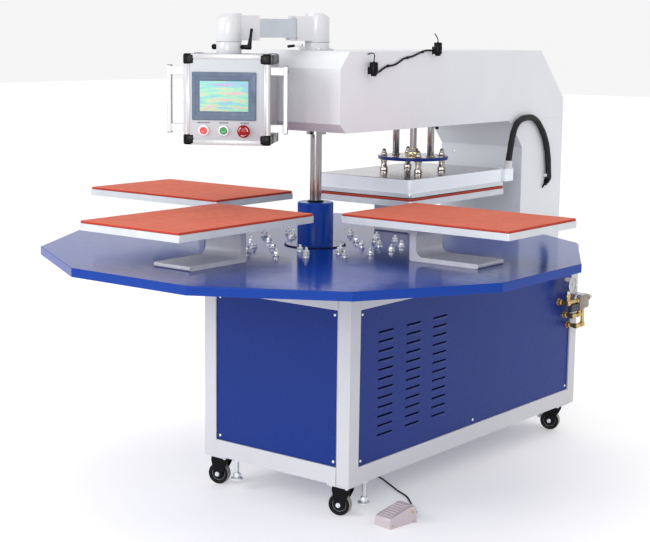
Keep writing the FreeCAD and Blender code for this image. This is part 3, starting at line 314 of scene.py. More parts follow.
def moulded(name, colour, roughness=0.45, grain=900, depth=0.00005, coat=0.0, gloss=0.4):
    """Moulded plastic or rubber: fine spark-eroded texture, slightly paler where it is handled."""
    finish = Finish(name, roughness, Coat_Weight=coat, Specular_IOR_Level=gloss)
    patch = finish.ramp(finish.noise(22, 5), scaled(colour, 0.9), scaled(colour, 1.1))
    edge = finish.mix(finish.worn_edge(0.0012), patch, tuple(c * 0.95 + 0.006 for c in colour))
    finish.colour(edge).rough(finish.noise(90, 4), roughness - 0.1, roughness + 0.12)
    return finish.bump(finish.noise(grain, 2), depth).material


def floor_paint():
    finish = Finish("floor_paint", 0.6, Specular_IOR_Level=0.2)
    pale = finish.ramp(finish.noise(0.9, 3), (0.80, 0.795, 0.79), (0.82, 0.815, 0.81))
    finish.colour(pale)
    finish.links.new(pale, finish.bsdf.inputs["Emission Color"])
    finish.bsdf.inputs["Emission Strength"].default_value = 0.33
    return finish.bump(finish.noise(30, 3), 0.0004, 0.3).material


def silicone():
    """Orange-red sponge: matte skin on top, the upright sides painted darker red as painted shade, and open
    pores painted a little darker as painted shade in their hollows.
    """
    finish = Finish("silicone", 0.72, Specular_IOR_Level=0.15)
    skin = finish.ramp(finish.noise(9, 5), (0.565, 0.130, 0.078), (0.60, 0.146, 0.090))
    pores = finish.ramp(finish.cells(620), 0.0, 1.0, 0.05, 0.45)
    # Pore centres take a darker red: painted shade in the hollows.
    top = finish.mix(pores, (0.50, 0.10, 0.062), skin)
    # Darker red for the upright sides: painted shade, picked below by which way each face looks.
    side = finish.ramp(finish.noise(300, 3), (0.33, 0.028, 0.018), (0.46, 0.05, 0.03))
    finish.colour(finish.mix(finish.ramp(finish.facing_up(), 0.0, 1.0, 0.35, 0.8), side, top))
    finish.rough(finish.noise(40, 4), 0.62, 0.85)
    return finish.bump(finish.combine(pores, finish.noise(25, 3), "ADD", 3.0), 0.00012).material


def braid():
    """Woven polyester sleeve: two sets of crossing strands, laid by the sleeve's own length and girth."""
    finish = Finish("braid", 0.55, Specular_IOR_Level=0.2)
    uv = finish.nodes.new("ShaderNodeUVMap").outputs["UV"]
    sets = []
    for lean in (1, -1):
        mapping = finish.nodes.new("ShaderNodeMapping")
        mapping.inputs["Rotation"].default_value = (0, 0, math.radians(45 * lean))
        finish.links.new(uv, mapping.inputs["Vector"])
        wave = finish.nodes.new("ShaderNodeTexWave")
        wave.inputs["Scale"].default_value = 95
        finish.links.new(mapping.outputs["Vector"], wave.inputs["Vector"])
        sets.append(wave.outputs["Fac"])
    weave = finish.combine(sets[0], sets[1], "MAXIMUM")
    finish.colour(finish.ramp(weave, (0.002, 0.002, 0.003), (0.030, 0.028, 0.034), 0.45, 1.0))
    finish.rough(finish.noise(200, 2), 0.42, 0.7)
    return finish.bump(weave, 0.0006).material


def display():
    """Lit screen with soft bands of blue, green and pink, no figures or lettering."""
    finish = Finish("display", 0.4, Specular_IOR_Level=0.15)
    rows = finish.noise(34, 3, (0.35, 0.35, 2.6))
    tint = finish.nodes.new("ShaderNodeValToRGB")
    stops = [(0.30, (0.58, 0.30, 0.50)), (0.41, (0.24, 0.48, 0.62)), (0.49, (0.24, 0.60, 0.48)),
             (0.57, (0.46, 0.62, 0.36)), (0.68, (0.64, 0.38, 0.48))]
    elements = tint.color_ramp.elements
    while len(elements) < len(stops):
        elements.new(0.5)
    for element, (place, colour) in zip(elements, stops):
        element.position = place
        element.color = (*colour, 1)
    finish.links.new(rows, tint.inputs["Fac"])
    fine = finish.ramp(finish.noise(260, 2, (0.3, 0.3, 3.0)), 0.82, 1.0)
    glow = finish.mix(fine, (0.16, 0.24, 0.32), tint.outputs["Color"])
    finish.colour(glow)
    finish.links.new(glow, finish.bsdf.inputs["Emission Color"])
    finish.bsdf.inputs["Emission Strength"].default_value = 0.12
    return finish.material


def clear(name):
    """Glass with faint smears."""
    finish = Finish(name, 0.05, Transmission_Weight=1.0, IOR=1.45)
    finish.colour(finish.ramp(finish.noise(80, 3), (0.93, 0.95, 0.96), (1.0, 1.0, 1.0)))
    return finish.material


def make_materials():
    """One finish for each kind of surface."""
    along_x = (0.05, 1, 1)
    upright = (1, 1, 0.04)
    enamel("frame_white", (0.53, 0.535, 0.565), 0.42, 0.05, gloss=0.3)
    enamel("panel_blue", (0.005, 0.026, 0.185), 0.3, 0.0, 0.00003, 0.0, 0.16)
    enamel("table_blue", (0.006, 0.040, 0.265), 0.12, 0.0, 0.00002, 0.0, 0.13)
    enamel("arm_white", (0.66, 0.675, 0.71), 0.38, 0.08, gloss=0.35)
    enamel("cover_white", (0.78, 0.83, 0.88), 0.34, 0.15)
    enamel("elbow_white", (0.58, 0.585, 0.605), 0.2, 0.3)
    bare_metal("bracket_cast", (0.62, 0.62, 0.67), 0.48, (1, 1, 1), 420, 0.0002, 0.14, 0.3)
    bare_metal("platen_aluminium", (0.60, 0.63, 0.67), 0.36, along_x, 800, metal=0.5)
    bare_metal("polished_plate", (0.46, 0.45, 0.47), 0.2, along_x, 500, 0.00001)
    bare_metal("tube_aluminium", (0.50, 0.54, 0.58), 0.42, (1, 1, 0.2), 500, 0.00002)
    silicone()
    bare_metal("zinc", (0.84, 0.86, 0.88), 0.28, (1, 1, 1), 500, 0.00003, 0.2, 0.65)
    bare_metal("nickel", (0.34, 0.31, 0.285), 0.2, (1, 1, 1), 300, 0.00001, 0.2)
    bare_metal("chrome_steel", (0.30, 0.29, 0.305), 0.14, upright, 600, 0.000006, 0.08)
    bare_metal("brass_fitting", (0.62, 0.43, 0.17), 0.24, (1, 1, 1), 420, 0.00003, 0.3)
    moulded("black_plastic", (0.002, 0.002, 0.003), 0.25, gloss=0.14)
    moulded("black_rubber", (0.003, 0.003, 0.004), 0.5, 500, 0.0001, gloss=0.15)
    moulded("wheel_rubber", (0.003, 0.003, 0.004), 0.3, 600, 0.00005, gloss=0.2)
    moulded("tread_grey", (0.27, 0.26, 0.245), 0.6, 400, 0.0002)
    bare_metal("box_aluminium", (0.50, 0.505, 0.52), 0.36, upright, 500, 0.00002, 0.05, 0.5)
    enamel("box_sheet", (0.48, 0.50, 0.54), 0.4, 0.0, gloss=0.3)
    # A darker copy of the box sheet's grey, for the box's side and back plates: painted shade.
    enamel("box_grey_painted_shade", (0.34, 0.34, 0.36), 0.45, 0.05)
    moulded("screen_bezel", (0.105, 0.145, 0.215), 0.4, 800, 0.00003, gloss=0.25)
    moulded("label_grey", (0.16, 0.155, 0.185), 0.5)
    moulded("button_red", (0.70, 0.02, 0.015), 0.2, 200, 0.00001, 0.3)
    moulded("button_dark_red", (0.24, 0.0008, 0.004), 0.08, 200, 0.00001, gloss=0.2)
    moulded("button_green", (0.005, 0.27, 0.07), 0.2, 200, 0.00001, 0.2)
    moulded("collar_white", (0.74, 0.74, 0.75), 0.25, 300, 0.00001, 0.3)
    enamel("pedal_casting", (0.50, 0.43, 0.455), 0.36, 0.2, 0.00045)
    enamel("pedal_side", (0.66, 0.56, 0.57), 0.36, 0.2, 0.0003)
    moulded("regulator_grey", (0.26, 0.22, 0.20), 0.4)
    moulded("coil_slate", (0.035, 0.04, 0.055), 0.42)
    moulded("knob_pale", (0.60, 0.58, 0.56), 0.35)
    bare_metal("motor_dark", (0.12, 0.13, 0.15), 0.45, (1, 1, 1), 300, 0.0001)
    bare_metal("gauge_steel", (0.60, 0.60, 0.62), 0.2, (1, 1, 1), 400, 0.00001)
    moulded("dial_white", (0.80, 0.80, 0.78), 0.5, 300, 0.00001)
    braid()
    display()
    clear("glass")


# ---------------------------------------------------------------- mesh building

class Piece:
    """Mesh put together in millimetres in a local frame."""

    def __init__(self, place=None):
        self.bm = bmesh.new()
        self.place = place or local()
        self.uv = self.bm.loops.layers.uv.new("UVMap")

    def grid(self, rings):
        """Closed skin over rings of points, each with the same number of points."""
        rows = [[self.bm.verts.new(p) for p in ring] for ring in rings]
        count = len(rows[0])
        for low, high in zip(rows, rows[1:]):
            for i in range(count):
                j = (i + 1) % count
                self.bm.faces.new((low[i], low[j], high[j], high[i]))
        self.bm.faces.new(list(reversed(rows[0])))
        self.bm.faces.new(rows[-1])
        return rows

    def lathe(self, profile, where=None, steps=32, shape=None):
        """Turned body: profile of (radius, height); shape gives a radius factor by angle."""
        where = where or Matrix.Identity(4)
        rings = []
        for radius, height in profile:
            ring = []
            for i in range(steps):
                angle = 2 * math.pi * i / steps
                reach = shape(angle, radius, height) if shape else radius
                ring.append(where @ Vector((reach * math.cos(angle), reach * math.sin(angle), height)))
            rings.append(ring)
        self.grid(rings)
        return self

    def nut(self, flats, high, where=None, bore=0.0):
        """Chamfered hexagon nut or bolt head, with a dimple in its end where it has no bore."""
        half = flats / 2

        def hexagon(angle, radius, height):
            wedge = (angle + math.pi / 6) % (math.pi / 3) - math.pi / 6
            return min(radius, half / math.cos(wedge))

        corner = half / math.cos(math.pi / 6)
        chamfer = 0.16 * half
        profile = [(half * 0.94, 0), (corner, chamfer), (corner, high - chamfer), (half * 0.94, high)]
        if bore:
            profile += [(bore, high), (bore, high - 0.4)]
        else:
            profile += [(half * 0.6, high), (half * 0.5, high - 0.5)]
        self.lathe(profile, where, 36, hexagon)
        return self

    def block(self, size, centre=(0, 0, 0), bevel=1.0, where=None, segments=2):
        """Block with rounded edges."""
        where = where or Matrix.Identity(4)
        made = bmesh.ops.create_cube(self.bm, size=1.0)["verts"]
        for vert in made:
            vert.co = vert.co * Vector(size) + Vector(centre)
        edges = list({edge for vert in made for edge in vert.link_edges})
        result = bmesh.ops.bevel(self.bm, geom=edges, offset=bevel, segments=segments, profile=0.5,
                                 affect="EDGES", clamp_overlap=True)
        fresh = {vert for face in result["faces"] for vert in face.verts}
        island = set(fresh)
        stack = list(fresh)
        while stack:
            for edge in stack.pop().link_edges:
                for vert in edge.verts:
                    if vert not in island:
                        island.add(vert)
                        stack.append(vert)
        for vert in island:
            vert.co = where @ vert.co
        return self

    def prism(self, outline, low, high, where=None, inset=0.6):
        """Flat outline (x, y) given thickness from low to high, with a small chamfer at both ends."""
        where = where or Matrix.Identity(4)
        middle = sum((Vector(p) for p in outline), Vector((0, 0))) / len(outline)

        def ring(height, back):
            points = []
            for p in outline:
                offset = Vector(p) - middle
                shrunk = middle + offset * max(0.0, 1 - back / max(offset.length, 1e-6))
                points.append(where @ Vector((shrunk.x, shrunk.y, height)))
            return points

        self.grid([ring(low, inset), ring(low + inset, 0), ring(high - inset, 0), ring(high, inset)])
        return self

    def sweep(self, points, radius, steps=16, taper=None):
        """Round tube along points; its UVs give length and girth in metres."""
        route = [Vector(p) for p in points]
        tangents = []
        for i in range(len(route)):
            ahead = route[min(i + 1, len(route) - 1)]
            behind = route[max(i - 1, 0)]
            tangents.append((ahead - behind).normalized())
        side = tangents[0].orthogonal().normalized()
        rings = []
        run = [0.0]
        for i, (point, tangent) in enumerate(zip(route, tangents)):
            side = (side - tangent * side.dot(tangent)).normalized()
            other = tangent.cross(side)
            reach = radius * (taper(i / (len(route) - 1)) if taper else 1)
            ring = []
            for k in range(steps):
                angle = 2 * math.pi * k / steps
                ring.append(point + side * math.cos(angle) * reach + other * math.sin(angle) * reach)
            rings.append(ring)
            if i:
                run.append(run[-1] + (point - route[i - 1]).length)
        rows = self.grid(rings)
        girth = 2 * math.pi * radius / 1000
        ring_of = {vert: (row, k) for row, ring in enumerate(rows) for k, vert in enumerate(ring)}
        for face in {face for ring in rows for vert in ring for face in vert.link_faces}:
            if len(face.verts) != 4:
                continue
            for loop in face.loops:
                row, k = ring_of[loop.vert]
                wrap = steps if k == 0 and any(ring_of[v][1] == steps - 1 for v in face.verts) else k
                loop[self.uv].uv = (run[row] / 1000, girth * wrap / steps)
        return self

    def emit(self, name, material, body, smooth=35, slot=None, replaces=()):
        """Make the object, smooth it up to the angle, and let it ride on the body, if one is given."""
        bmesh.ops.transform(self.bm, matrix=self.place, verts=self.bm.verts)
        bmesh.ops.recalc_face_normals(self.bm, faces=self.bm.faces)
        mesh = bpy.data.meshes.new(name)
        self.bm.to_mesh(mesh)
        self.bm.free()
        for polygon in mesh.polygons:
            polygon.use_smooth = True
        mesh.set_sharp_from_angle(angle=math.radians(smooth))
        obj = bpy.data.objects.new(name, mesh)
        bpy.context.scene.collection.objects.link(obj)
        mesh.materials.append(MATERIALS[material])
        if body:
            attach(obj, body)
        if replaces:
            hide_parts(*replaces)
        return obj


def spline_curve(name, points, diameter):
    """Smooth cord through control points in the row frame; a diameter of 0 leaves its bare line."""
    curve = bpy.data.curves.new(name, "CURVE")
    curve.dimensions = "3D"
    spline = curve.splines.new("NURBS")
    spline.points.add(len(points) - 1)
    for control, point in zip(spline.points, points):
        control.co = (*point, 1)
    spline.order_u = 3
    spline.use_endpoint_u = True
    spline.resolution_u = 8
    curve.bevel_depth = diameter / 2
    curve.bevel_resolution = 6
    curve.use_fill_caps = True
    obj = bpy.data.objects.new(name, curve)
    bpy.context.scene.collection.objects.link(obj)
    return obj


def followed(name, points):
    """Points along the smooth spline through a route, in millimetres in the row frame."""
    guide = spline_curve(name, points, 0)
    bpy.context.view_layer.update()
    mesh = bpy.data.meshes.new_from_object(guide)
    found = [v.co * 1000 for v in mesh.vertices]
    curve = guide.data
    bpy.data.objects.remove(guide)
    bpy.data.curves.remove(curve)
    bpy.data.meshes.remove(mesh)
    return found


# ---------------------------------------------------------------- carousel

def round_rectangle(long, wide, radius, pull=0.0):
    """Points round a rectangle with rounded corners whose sides are drawn in by pull."""
    sides = 14
    corner = 6
    points = []
    half = (long / 2 - radius, wide / 2 - radius)
    for quarter in range(4):
        centre = (half[0] * (1, -1, -1, 1)[quarter], half[1] * (1, 1, -1, -1)[quarter])
        for i in range(corner + 1):
            angle = math.pi / 2 * (quarter + i / corner)
            points.append((centre[0] + radius * math.cos(angle), centre[1] + radius * math.sin(angle)))
        following = (half[0] * (-1, -1, 1, 1)[quarter], half[1] * (1, -1, -1, 1)[quarter])
        normal = ((0, 1), (-1, 0), (0, -1), (1, 0))[quarter]
        for i in range(1, sides):
            t = i / sides
            base = [centre[k] + (following[k] - centre[k]) * t for k in (0, 1)]
            reach = radius - pull * math.sin(math.pi * t)
            points.append((base[0] + normal[0] * reach, base[1] + normal[1] * reach))
    return points


def pads():
    """Silicone sponge pads: flat underneath, crowned on top, drawn in a little between the corners."""
    skin = 7
    layers = [(2.0, 0.0, 0), (0.4, 0.7, 0), (0.0, 2.2, 0.3), (0.1, 4.0, 0.5), (0.1, 5.8, 0.5),
              (0.7, 7.1, 0.4), (2.4, 7.7, 0.3), (9, 7.9, 0.2), (30, 8.0, 0.1), (80, 8.15, 0), (140, 8.25, 0)]
    for index in range(4):
        piece = Piece(local(turn=90 * index))
        rings = []
        for inset, height, pull in layers:
            ring = []
            for x, y in round_rectangle(598 - 2 * inset, 398 - 2 * inset, 7, pull):
                sway = random.uniform(-0.06, 0.06) if height > skin else 0
                ring.append((STATION_REACH + x, y, PAD_BOTTOM + height + sway))
            rings.append(ring)
        piece.grid(rings)
        pad = piece.emit("pad_%d" % (index + 1), "silicone", "carousel", 60, "silicone", ["silicone_pads"])


def threaded(radius, low, high, pitch=1.5):
    """Profile of a screwed end with a rounded tip."""
    profile = [(radius * 0.86, low)]
    height = low
    while height + pitch < high - 1:
        profile += [(radius, height + pitch / 2), (radius * 0.88, height + pitch)]
        height += pitch
    return profile + [(radius * 0.85, high - 0.8), (radius * 0.6, high), (0.4, high + 0.05)]


def hub_fixings():
    """Studs with washers and nuts in four clusters, a wiper on the hub's top, a black ring round the foot of
    the hub's flange that is its seam and also painted shadow on the table, and the bracket welds.
    """
    clusters = [(285, 12.5), (275, 33), (213, 14), (160, 24)]
    bolts = Piece()
    for diagonal in (45, 135, 225, 315):
        for radius, spread in clusters:
            for side in SIDES:
                angle = math.radians(diagonal + side * spread)
                spot = shift(radius * math.cos(angle), radius * math.sin(angle), TABLE_TOP)
                spot = spot @ Matrix.Rotation(random.uniform(0, 1), 4, "Z")
                bolts.lathe([(5.2, 0), (12, 0), (12.2, 0.8), (11.8, 2.2), (11, 2.5), (5.2, 2.5)], spot)
                bolts.lathe([(6, 2.4), (9.4, 2.4), (9.6, 3.2), (9.2, 4.2), (6, 4.2)], spot)
                bolts.nut(18, 8.6, spot @ shift(0, 0, 4.2), 4.4)
                bolts.lathe(threaded(5, 3, 22), spot, 18)
    bolts.emit("hub_nuts", "zinc", "carousel", 30, "zinc", ["hub_bolts"])
    wiper_and_shadow_ring = Piece()
    # Black ring on the table round the flange's foot: the flange's seam, darkened further as painted shadow.
    wiper_and_shadow_ring.lathe([(97, 835.1), (101.5, 835.1), (102.3, 836.2), (101.4, 838.2), (98.6, 839.2),
                (98.1, 836)], steps=72)
    # Wiper round the bore on the hub's top.
    wiper_and_shadow_ring.lathe([(19.4, 977.5), (27, 977.6), (27.5, 979.2), (26, 981.0), (21, 983.2),
                (19.5, 983.4)], steps=48)
    wiper_and_shadow_ring.emit("hub_wiper_and_shadow_ring", "black_rubber", "carousel")
    beads = Piece()
    steps = 40
    for index in range(4):
        turned = Matrix.Rotation(math.radians(90 * index), 4, "Z")
        for side in SIDES:
            path = []
            for i in range(steps + 1):
                z = TABLE_TOP + 0.8 + random.uniform(-0.3, 0.3)
                path.append(turned @ Vector((438 + 236 * i / steps, side * 74, z)))
            beads.sweep(path, 2.2, 8, taper=lambda t: 0.85 + 0.15 * math.sin(t * 190))
    beads.emit("bracket_welds", "bracket_cast", "carousel", 60)


def socket_head(piece, where, radius, high):
    """Cap screw with a hexagon socket."""
    piece.lathe([(radius * 0.9, -0.2), (radius, 0.5), (radius, high - 0.8), (radius * 0.86, high),
                 (radius * 0.56, high), (radius * 0.5, high - 0.6), (radius * 0.48, high - 2.6),
                 (0.3, high - 2.8)], where, 24)


# ---------------------------------------------------------------- cabinet

def pan_head(piece, where, radius=5):
    """Pan-head screw with a slotted recess."""
    piece.lathe([(radius * 0.9, -0.3), (radius, 0.4), (radius * 0.93, 1.5), (radius * 0.68, 2.4),
                 (radius * 0.36, 2.75), (radius * 0.3, 2.1), (0.3, 1.9)], where, 24)


def panel_details():
    """Screws and louvre hoods on the blue panels, and the closed ends of the corner posts."""
    low = 183
    high = 658
    screws = Piece()
    for z in (low, high):
        for x in (-241, 241):
            pan_head(screws, there(x, -200, z, (0, -1, 0)))
            pan_head(screws, there(x, 1250, z, (0, 1, 0)))
        for side in SIDES:
            for y in (-139, 525, 1189):
                pan_head(screws, there(side * PANEL_X, y, z, (side, 0, 0)))
    for x in (-120, 120):
        pan_head(screws, there(x, 1015, 1080, (0, -1, 0)))
    screws.emit("panel_screw_heads", "zinc", "root", 40, "zinc", ["panel_screws"])
    hoods = Piece()
    root = 0.6
    section = [(-root, -9.5), (0.1, -9.5), (1.1, -7.0), (2.0, -4.6), (2.3, -3.3), (2.1, -2.7), (1.4, -2.8),
               (-root, -3.6)]
    half_span = [(43.5, 0.02), (41, 0.35), (38, 0.75), (34, 0.95), (28, 1)]
    spans = [(-y, lift) for y, lift in half_span] + half_span[::-1]
    first_row = 248
    pitch = 30.8
    for side in SIDES:
        for column in (-8, 148, 303):
            for row in range(12):
                z = first_row + pitch * row
                rings = [[(side * (PANEL_X + (x + root) * lift - root), column + y, z + up)
                          for x, up in section] for y, lift in spans]
                hoods.grid(rings)
    hoods.emit("louvre_hoods", "panel_blue", "root", 50)
    caps = Piece()
    for x, y in ((-282, -180), (282, -180), (-282, 1230), (282, 1230)):
        caps.block((49, 49, 2.4), (x, y, 108.4), 0.8)
    caps.emit("post_ends", "frame_white", "root")


def casters():
    """Stamped forks with a ball race, and rubber-tyred wheels on a bolted axle."""
    places = [(-260, -162), (260, -162), (-260, 1190), (260, 1190)]
    upright = Matrix.Rotation(math.radians(90), 4, "X")
    square = Matrix.Rotation(math.radians(180 - CASTER_HEADING), 4, "Z")
    leg = [(-25, 92), (-23, 80), (2, 30), (9, 25), (20, 24), (28, 31), (29, 42), (38, 88), (36, 97),
           (-22, 97)]
    for number, (x, y) in enumerate(places, 1):
        place = local(x, y, 0, CASTER_HEADING)
        fork = Piece(place)
        for side in SIDES:
            fork.prism(leg, side * 19.5 - 1.6, side * 19.5 + 1.6, upright, 0.7)
        fork.block((58, 40, 4), (7, 0, 95.5), 1.5)
        fork.lathe([(9, 96), (27, 96), (30, 97.4), (31, 99.5), (28, 101.8), (20, 102.4), (9, 102.4)],
                   steps=40)
        fork.emit("fork_%d" % number, "black_plastic", "caster_fork_%d" % number, 40, "black_plastic",
                  ["caster_fork_%d" % number])
        plate = Piece(place)
        for sx, sy in CORNERS:
            plate.nut(9, 5, square @ there(31 * sx, 31 * sy, 103, (0, 0, -1)))
        plate.emit("caster_screws_%d" % number, "zinc", "root", 30)
        bolt = Piece(place)
        axle = there(15, 0, 37.5, (0, 1, 0))
        bolt.lathe([(2, -25), (4.2, -25), (4.2, 25), (2, 25)], axle, 20)
        bolt.nut(11, 5.5, axle @ shift(0, 0, 21.3), 3.8)
        bolt.nut(11, 5.5, axle @ shift(0, 0, -26.8), 3.8)
        bolt.lathe([(4, 20.9), (8, 20.9), (8, 21.8), (4, 21.8)], axle, 24)
        bolt.emit("axle_%d" % number, "zinc", "caster_fork_%d" % number, 30)
        wheel = Piece(place)
        for side in SIDES:
            wheel.lathe([(5.2, side * 13.5), (11, side * 14.6), (12.5, side * 13.8), (13.5, side * 11),
                         (23, side * 9.5), (26, side * 10.5), (27, side * 13.4), (31, side * 14.7),
                         (34.6, side * 14.2), (35.6, side * 12.6), (34.6, side * 10), (20, side * 4),
                         (5.2, side * 4)], axle, 48)
        wheel.emit("wheel_%d" % number, "wheel_rubber", "caster_wheel_%d" % number, 40, "wheel_rubber",
                   ["caster_wheel_%d" % number])
        tread = Piece(place)
        tread.lathe([(8, -9), (32, -10), (35.4, -11.6), (36.8, -10.2), (37.4, -7), (37.4, 7), (36.8, 10.2),
                     (35.4, 11.6), (32, 10), (8, 9)], axle, 64)
        tread.emit("tread_%d" % number, "tread_grey", "caster_wheel_%d" % number, 40, "wheel_rubber")


def feet():
    """Levelling feet: disc, hexagon, threaded stud and lock nut under the frame."""
    piece = Piece()
    for x, y, low in [(-185, -178, 35), (284, -92, 28), (-284, 1120, 31), (185, 1228, 31)]:
        spot = shift(x, y, low)
        piece.lathe([(3, 0), (20, 0), (21, 1.2), (21, 5), (17, 8), (10, 10), (3, 10)], spot, 40)
        piece.nut(24, 12, spot @ shift(0, 0, 10), 6.2)
        piece.lathe(threaded(7, 15, 140 - low, 2), spot, 20)
        piece.nut(24, 7, spot @ shift(0, 0, 98 - low), 6.2)
    piece.emit("foot_screws", "zinc", "levelling_feet", 30, "zinc", ["levelling_feet"])


# ---------------------------------------------------------------- press

def press_head():
    """Polished lid, bare disc face, spring bolts and couplings, on the head's CAD solids."""
    y = STATION_REACH
    lid = Piece()
    outline = [(px, y + py) for px, py in round_rectangle(388, 588, 11)]
    lid.prism(outline, LID_BOTTOM, LID_TOP, inset=0.7)
    lid.emit("cover_lid", "polished_plate", "press_head", 30, "platen_aluminium")
    face = Piece()
    face.lathe([(12.6, 1096), (120.5, 1096), (121, 1096.6), (120.2, 1097.1), (12.6, 1097.1)],
               shift(0, y, 0), 96)
    face.emit("disc_face", "polished_plate", "press_head", 30, "platen_aluminium")
    bolts = Piece()
    for sx, sy in CORNERS:
        spot = shift(74 * sx, y + 74 * sy, 0)
        bolts.nut(25, 13, spot @ shift(0, 0, LID_TOP), 9)
        bolts.lathe([(6, 1056), (11.6, 1056), (11.6, 1058), (10.6, 1060), (10.6, 1074), (11.6, 1075),
                     (11.6, 1082), (6, 1082)], spot, 32)
        bolts.lathe([(6, 1082.2), (13.6, 1082.2), (14, 1083), (13.6, 1085.2), (6, 1085.2)], spot, 32)
        bolts.lathe([(6, DISC_TOP), (12.4, DISC_TOP), (12.6, 1098.3), (12, 1099.3), (6, 1099.3)],
                    spot, 32)
        bolts.nut(18, 9, spot @ shift(0, 0, 1099.3), 6)
        bolts.lathe([(5.4, 1107.5), (8, 1108.5), (8.2, 1111.5), (7.4, 1116.5), (5.2, 1120.5),
                     (2.2, 1122.3), (0.4, 1122.5)], spot, 28)
    bolts.emit("spring_bolts", "nickel", "press_head", 30, "zinc", ["adjusting_bolts"])
    middle = shift(0, y, 0)
    collar = Piece()
    collar.nut(38, 13, middle @ shift(0, 0, 1100.5), 12.4)
    collar.lathe([(12.4, DISC_TOP), (24, DISC_TOP), (24.6, 1098.2), (24, 1100.5), (12.4, 1100.7)], middle, 40)
    collar.lathe([(12.4, 1113.5), (15.5, 1113.5), (16, 1115.5), (15.5, 1124), (12.4, 1124.5)], middle, 40)
    collar.emit("rod_coupling", "brass_fitting", "press_head", 30)
    rings = Piece()
    for x in (-75, 75):
        spot = shift(x, y, 0)
        rings.lathe([(12.2, DISC_TOP), (15, DISC_TOP), (15.4, 1098.2), (14.8, 1100.5), (12.2, 1100.6)],
                    spot, 32)
    rings.emit("rod_collars", "nickel", "press_head", 30, "zinc")
    seals = Piece()
    for x, radius in ((-75, 20), (75, 20), (0, 21)):
        spot = shift(x, y, 0)
        seals.lathe([(12.2, ARM_BOTTOM), (radius, ARM_BOTTOM), (radius + 1, 1207), (radius + 1, 1209),
                     (12.2, 1209)], spot, 40)
    seals.emit("rod_seals", "black_rubber", "root")
    port = Piece()
    spot = shift(104, y - 6, 0)
    port.lathe([(2, 1196), (5, 1196), (6, 1198), (6, 1204), (4.5, 1205), (4.5, 1213.9), (2, 1213.9)],
               spot, 20)
    port.emit("arm_grommet", "black_plastic", "root")


def conduit():
    """Braided sleeve from the cable box over to the column."""
    x = 194
    side = [
        (895, 1066.6), (901, 1090), (907, 1115), (914, 1145), (925, 1175), (943, 1200), (968, 1215),
        (1000, 1222), (1040, 1224), (1075, 1217), (1104, 1200), (1132, 1174), (1156, 1145), (1175, 1108),
        (1186, 1070), (1192, 1030), (1197, 986),
    ]
    sleeve = Piece(Matrix.Scale(MILLIMETRE, 4))
    sleeve.sweep(followed("conduit_guide", [at(x, y, z) for y, z in side]), 11.3, 28,
                 taper=lambda t: 1 + 0.025 * math.sin(t * 63) + 0.015 * math.sin(t * 171))
    obj = sleeve.emit("conduit", "braid", None, 50, "black_rubber", ["braided_conduit"])
    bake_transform(obj)
    collar = Piece()
    collar.lathe([(9, 1041), (15.4, 1041), (15.6, 1044), (14.2, 1045.4), (13.8, 1060), (14.6, 1061.4),
                  (14.4, 1069), (12.2, 1070), (11.4, 1066)], shift(x, 895, 0), 36)
    collar.emit("conduit_collar", "elbow_white", "press_head", 40, "arm_white")
    clip = Piece()
    clip.block((16, 20, 12), (186, 1186, 996), 2.5)
    clip.emit("conduit_clip", "elbow_white", "root", slot="arm_white")
    tail = Piece()
    tail.sweep([(x, 1198, 990), (x - 2, 1196, 976), (x - 5, 1188, 966), (x - 7, 1176, 960),
                (x - 8, 1166, 950)], 4.2, 14, taper=lambda t: 1.25 - 0.5 * t)
    tail.sweep([(x, 1197, 996), (x - 1, 1198, 982), (x - 7, 1199, 973), (x - 16, 1200, 970)], 10.2, 24)
    tail.lathe([(9, 179.2), (15.5, 179.2), (16, 181), (14.5, 183.6), (10.5, 184.4)],
               there(0, 1200, 970, (1, 0, 0)), 36)
    tail.emit("conduit_entry", "black_rubber", "root", 50)


